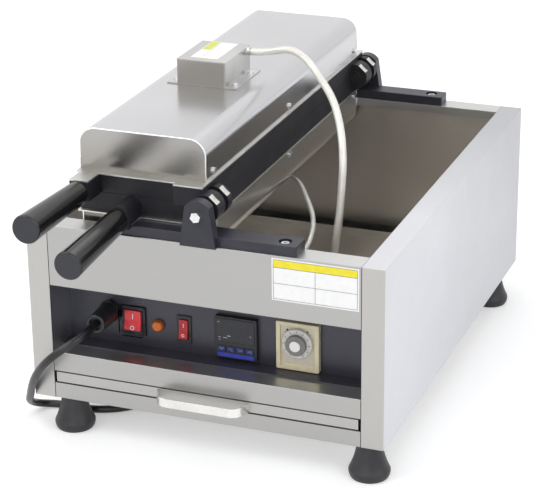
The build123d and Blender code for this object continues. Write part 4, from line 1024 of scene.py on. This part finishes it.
# The power switch is a red rocker with a faint painted glow, under a clear splash hood; the
# alarm switch is a bare one.
# The on mark and the off mark are printed on them in white.
# The faint emission of the power rocker is a painted glow.
glow_painted_red = surface(
    "glow_painted_red_rocker",
    (0.60, 0.018, 0.030),
    (0.74, 0.035, 0.050),
    (0.006, (1, 1, 1)),
    (0.18, 0.30),
    0.0,
    (0.0008, (1, 1, 1), 0.00003),
    soft_edge=0.0006,
    Emission_Color=(0.9, 0.03, 0.05, 1),
    Emission_Strength=0.03,
)
deep_red = surface(
    "deep_red_rocker",
    (0.42, 0.006, 0.010),
    (0.58, 0.012, 0.018),
    (0.006, (1, 1, 1)),
    (0.16, 0.28),
    0.0,
    (0.0008, (1, 1, 1), 0.00003),
    soft_edge=0.0006,
)
clear_hood = surface(
    "clear_hood",
    (0.97, 0.97, 0.97),
    (0.93, 0.93, 0.94),
    (0.02, (1, 1, 1)),
    (0.04, 0.12),
    0.0,
    (0.004, (1, 1, 1), 0.00002),
    Transmission_Weight=1.0,
    IOR=1.1,
)
dress(glow_painted_red, "power_rocker")
dress(deep_red, "alarm_rocker")
dress(clear_hood, "power_switch_cover")
white_print = ink("white_print", (0.78, 0.78, 0.78), (0.86, 0.86, 0.86))
for rocker, body, mark_x, bar, bar_width, ring_z, ring in (
    ("power_rocker", "power_key", -0.0985, (0.1255, 0.1310), 0.0010, 0.1155, (0.0016, 0.0024)),
    ("alarm_rocker", "alarm_key", -0.0393, (0.1242, 0.1278), 0.0007, 0.1150, (0.0010, 0.0017)),
):
    marks = strokes([(mark_x, end) for end in bar], bar_width) + hoop(mark_x, ring_z, *ring)
    stuck_on(f"{rocker}_marks", ((white_print, marks),), (rocker,), body)


# The pilot lamp is an amber lens in a thin dark bezel, pushed into a round hole in the panel.
# The lens is dotted inside, so that its light spreads.
amber_lens = surface(
    "amber_lens",
    (0.58, 0.11, 0.006),
    (0.72, 0.18, 0.012),
    (0.002, (1, 1, 1)),
    (0.16, 0.28),
    0.0,
    (0.0012, (1, 1, 1), 0.0002),
    soft_edge=0.0005,
)
bezel_face = (-0.1719, -0.1717)
bezel = slice_of(amber_lens.node_tree, origin, backwards, *bezel_face)
retone(amber_lens, bezel, (0.10, 0.035, 0.01))
dress(amber_lens, "indicator_lamp")


# The controller has a dark window with a few pale segments, four blue keys with plain signs
# below it and a bright blue strip at its foot.
window_film = ink("window_film", (0.010, 0.011, 0.018), (0.014, 0.015, 0.024), (0.14, 0.24))
segment_ink = ink("segment_ink", (0.55, 0.56, 0.60), (0.68, 0.69, 0.72))
strip_blue = ink("strip_blue", (0.035, 0.050, 0.42), (0.050, 0.070, 0.52))
sign_ink = ink("sign_ink", (0.20, 0.23, 0.50), (0.26, 0.29, 0.58))
window_left, window_right = 0.0010, 0.0430
stuck_on(
    "controller_window",
    (
        (window_film, [rectangle(window_left, 0.1170, window_right, 0.1422)]),
        (
            segment_ink,
            strokes([(0.0022, 0.1385), (0.0032, 0.1392), (0.0044, 0.1386)], 0.0005)
            + strokes([(0.0026, 0.1212), (0.0052, 0.1212)], 0.0005)
            + strokes([(0.0088, 0.1212), (0.0124, 0.1212)], 0.0005)
            + strokes([(0.0132, 0.1236), (0.0162, 0.1236)], 0.0007)
            + strokes([(0.0036, 0.1182), (0.0044, 0.1182)], 0.0006)
            + strokes([(0.0388, 0.1264), (0.0400, 0.1252)], 0.0005),
        ),
    ),
    ("temperature_controller",),
    "base",
)
stuck_on(
    "controller_strip",
    ((strip_blue, [rectangle(window_left, 0.0986, window_right, 0.1030)]),),
    ("temperature_controller",),
    "base",
)
key_blue = surface(
    "key_blue",
    (0.018, 0.022, 0.110),
    (0.026, 0.032, 0.150),
    (0.003, (1, 1, 1)),
    (0.35, 0.50),
    0.0,
    (0.0005, (1, 1, 1), 0.00003),
    soft_edge=0.0004,
)
key_signs = {
    1: [[(-0.0022, -0.0002), (-0.0008, 0.0012), (0.0006, -0.0008), (0.0022, 0.0010)]],
    2: [[(-0.0016, 0.0014), (0.0016, -0.0014)]],
    3: [[(-0.0022, 0.0010), (0.0, -0.0012), (0.0022, 0.0010)]],
    4: [[(-0.0022, -0.0010), (0.0, 0.0012), (0.0022, -0.0010)]],
}
keys_middle, key_pitch, key_height = 0.022, 0.0108, 0.108
for key, lines in key_signs.items():
    dress(key_blue, f"controller_key_{key}")
    key_x = keys_middle + key_pitch * (key - 2.5)
    signs = []
    for line in lines:
        signs += strokes([(key_x + x, key_height + z) for x, z in line], 0.0006)
    stuck_on(
        f"controller_key_{key}_sign",
        ((sign_ink, signs),),
        (f"controller_key_{key}",),
        f"controller_button_{key}",
    )


# The timer has a beige frame round a sunk face with two screws. Its grey knob, with a white cap,
# turns in a pale skirt that carries the dial's marks.
timer_beige = surface(
    "timer_beige",
    (0.72, 0.64, 0.44),
    (0.78, 0.70, 0.50),
    (0.01, (1, 1, 1)),
    (0.32, 0.46),
    0.0,
    (0.0006, (1, 1, 1), 0.00004),
    soft_edge=0.0007,
)
dress(timer_beige, "timer_frame")
face_ink = ink("timer_face", (0.62, 0.58, 0.47), (0.68, 0.64, 0.53))
dot_ink = ink("timer_screws", (0.045, 0.042, 0.040), (0.07, 0.066, 0.06))
screw_height, screw_reach = 0.1400, 0.0013
stuck_on(
    "timer_face_print",
    (
        (face_ink, [rectangle(0.0745, 0.1008, 0.1095, 0.1436)]),
        (
            dot_ink,
            hoop(0.0802, screw_height, 0, screw_reach, 14)
            + hoop(0.1025, screw_height, 0, screw_reach, 14)
            + strokes([(0.0770, 0.1372), (0.0784, 0.1378)], 0.0004)
            + strokes([(0.1052, 0.1378), (0.1066, 0.1370)], 0.0004),
        ),
    ),
    ("timer_frame",),
    "base",
)
knob_grey = surface(
    "knob_grey",
    (0.66, 0.65, 0.62),
    (0.76, 0.75, 0.72),
    (0.006, (1, 1, 1)),
    (0.14, 0.28),
    0.0,
    (0.0010, (1, 1, 1), 0.00004),
    soft_edge=0.0006,
)
tree = knob_grey.node_tree
over_skirt, cap_face = (-0.1783, -0.1785), (-0.1832, -0.1834)
retone(knob_grey, slice_of(tree, origin, backwards, *over_skirt), (0.20, 0.195, 0.185))
retone(knob_grey, slice_of(tree, origin, backwards, *cap_face), (0.86, 0.86, 0.85))
dress(knob_grey, "timer_knob")
dial_ink = ink("dial_ink", (0.05, 0.05, 0.05), (0.08, 0.08, 0.08))
dial_x, dial_z = 0.092, 0.1262
first_mark, mark_turn = 240, 30
long_start, short_start, mark_end = 0.0128, 0.0138, 0.0152
dial_marks = []
for mark in range(11):
    turned = math.radians(first_mark - mark_turn * mark)
    over, up = math.cos(turned), math.sin(turned)
    mark_start = long_start if mark % 2 == 0 else short_start
    ends = [(dial_x + reach * over, dial_z + reach * up) for reach in (mark_start, mark_end)]
    dial_marks += strokes(ends, 0.0006)
stuck_on("timer_dial_marks", ((dial_ink, dial_marks),), ("timer_knob",), "timer_dial")
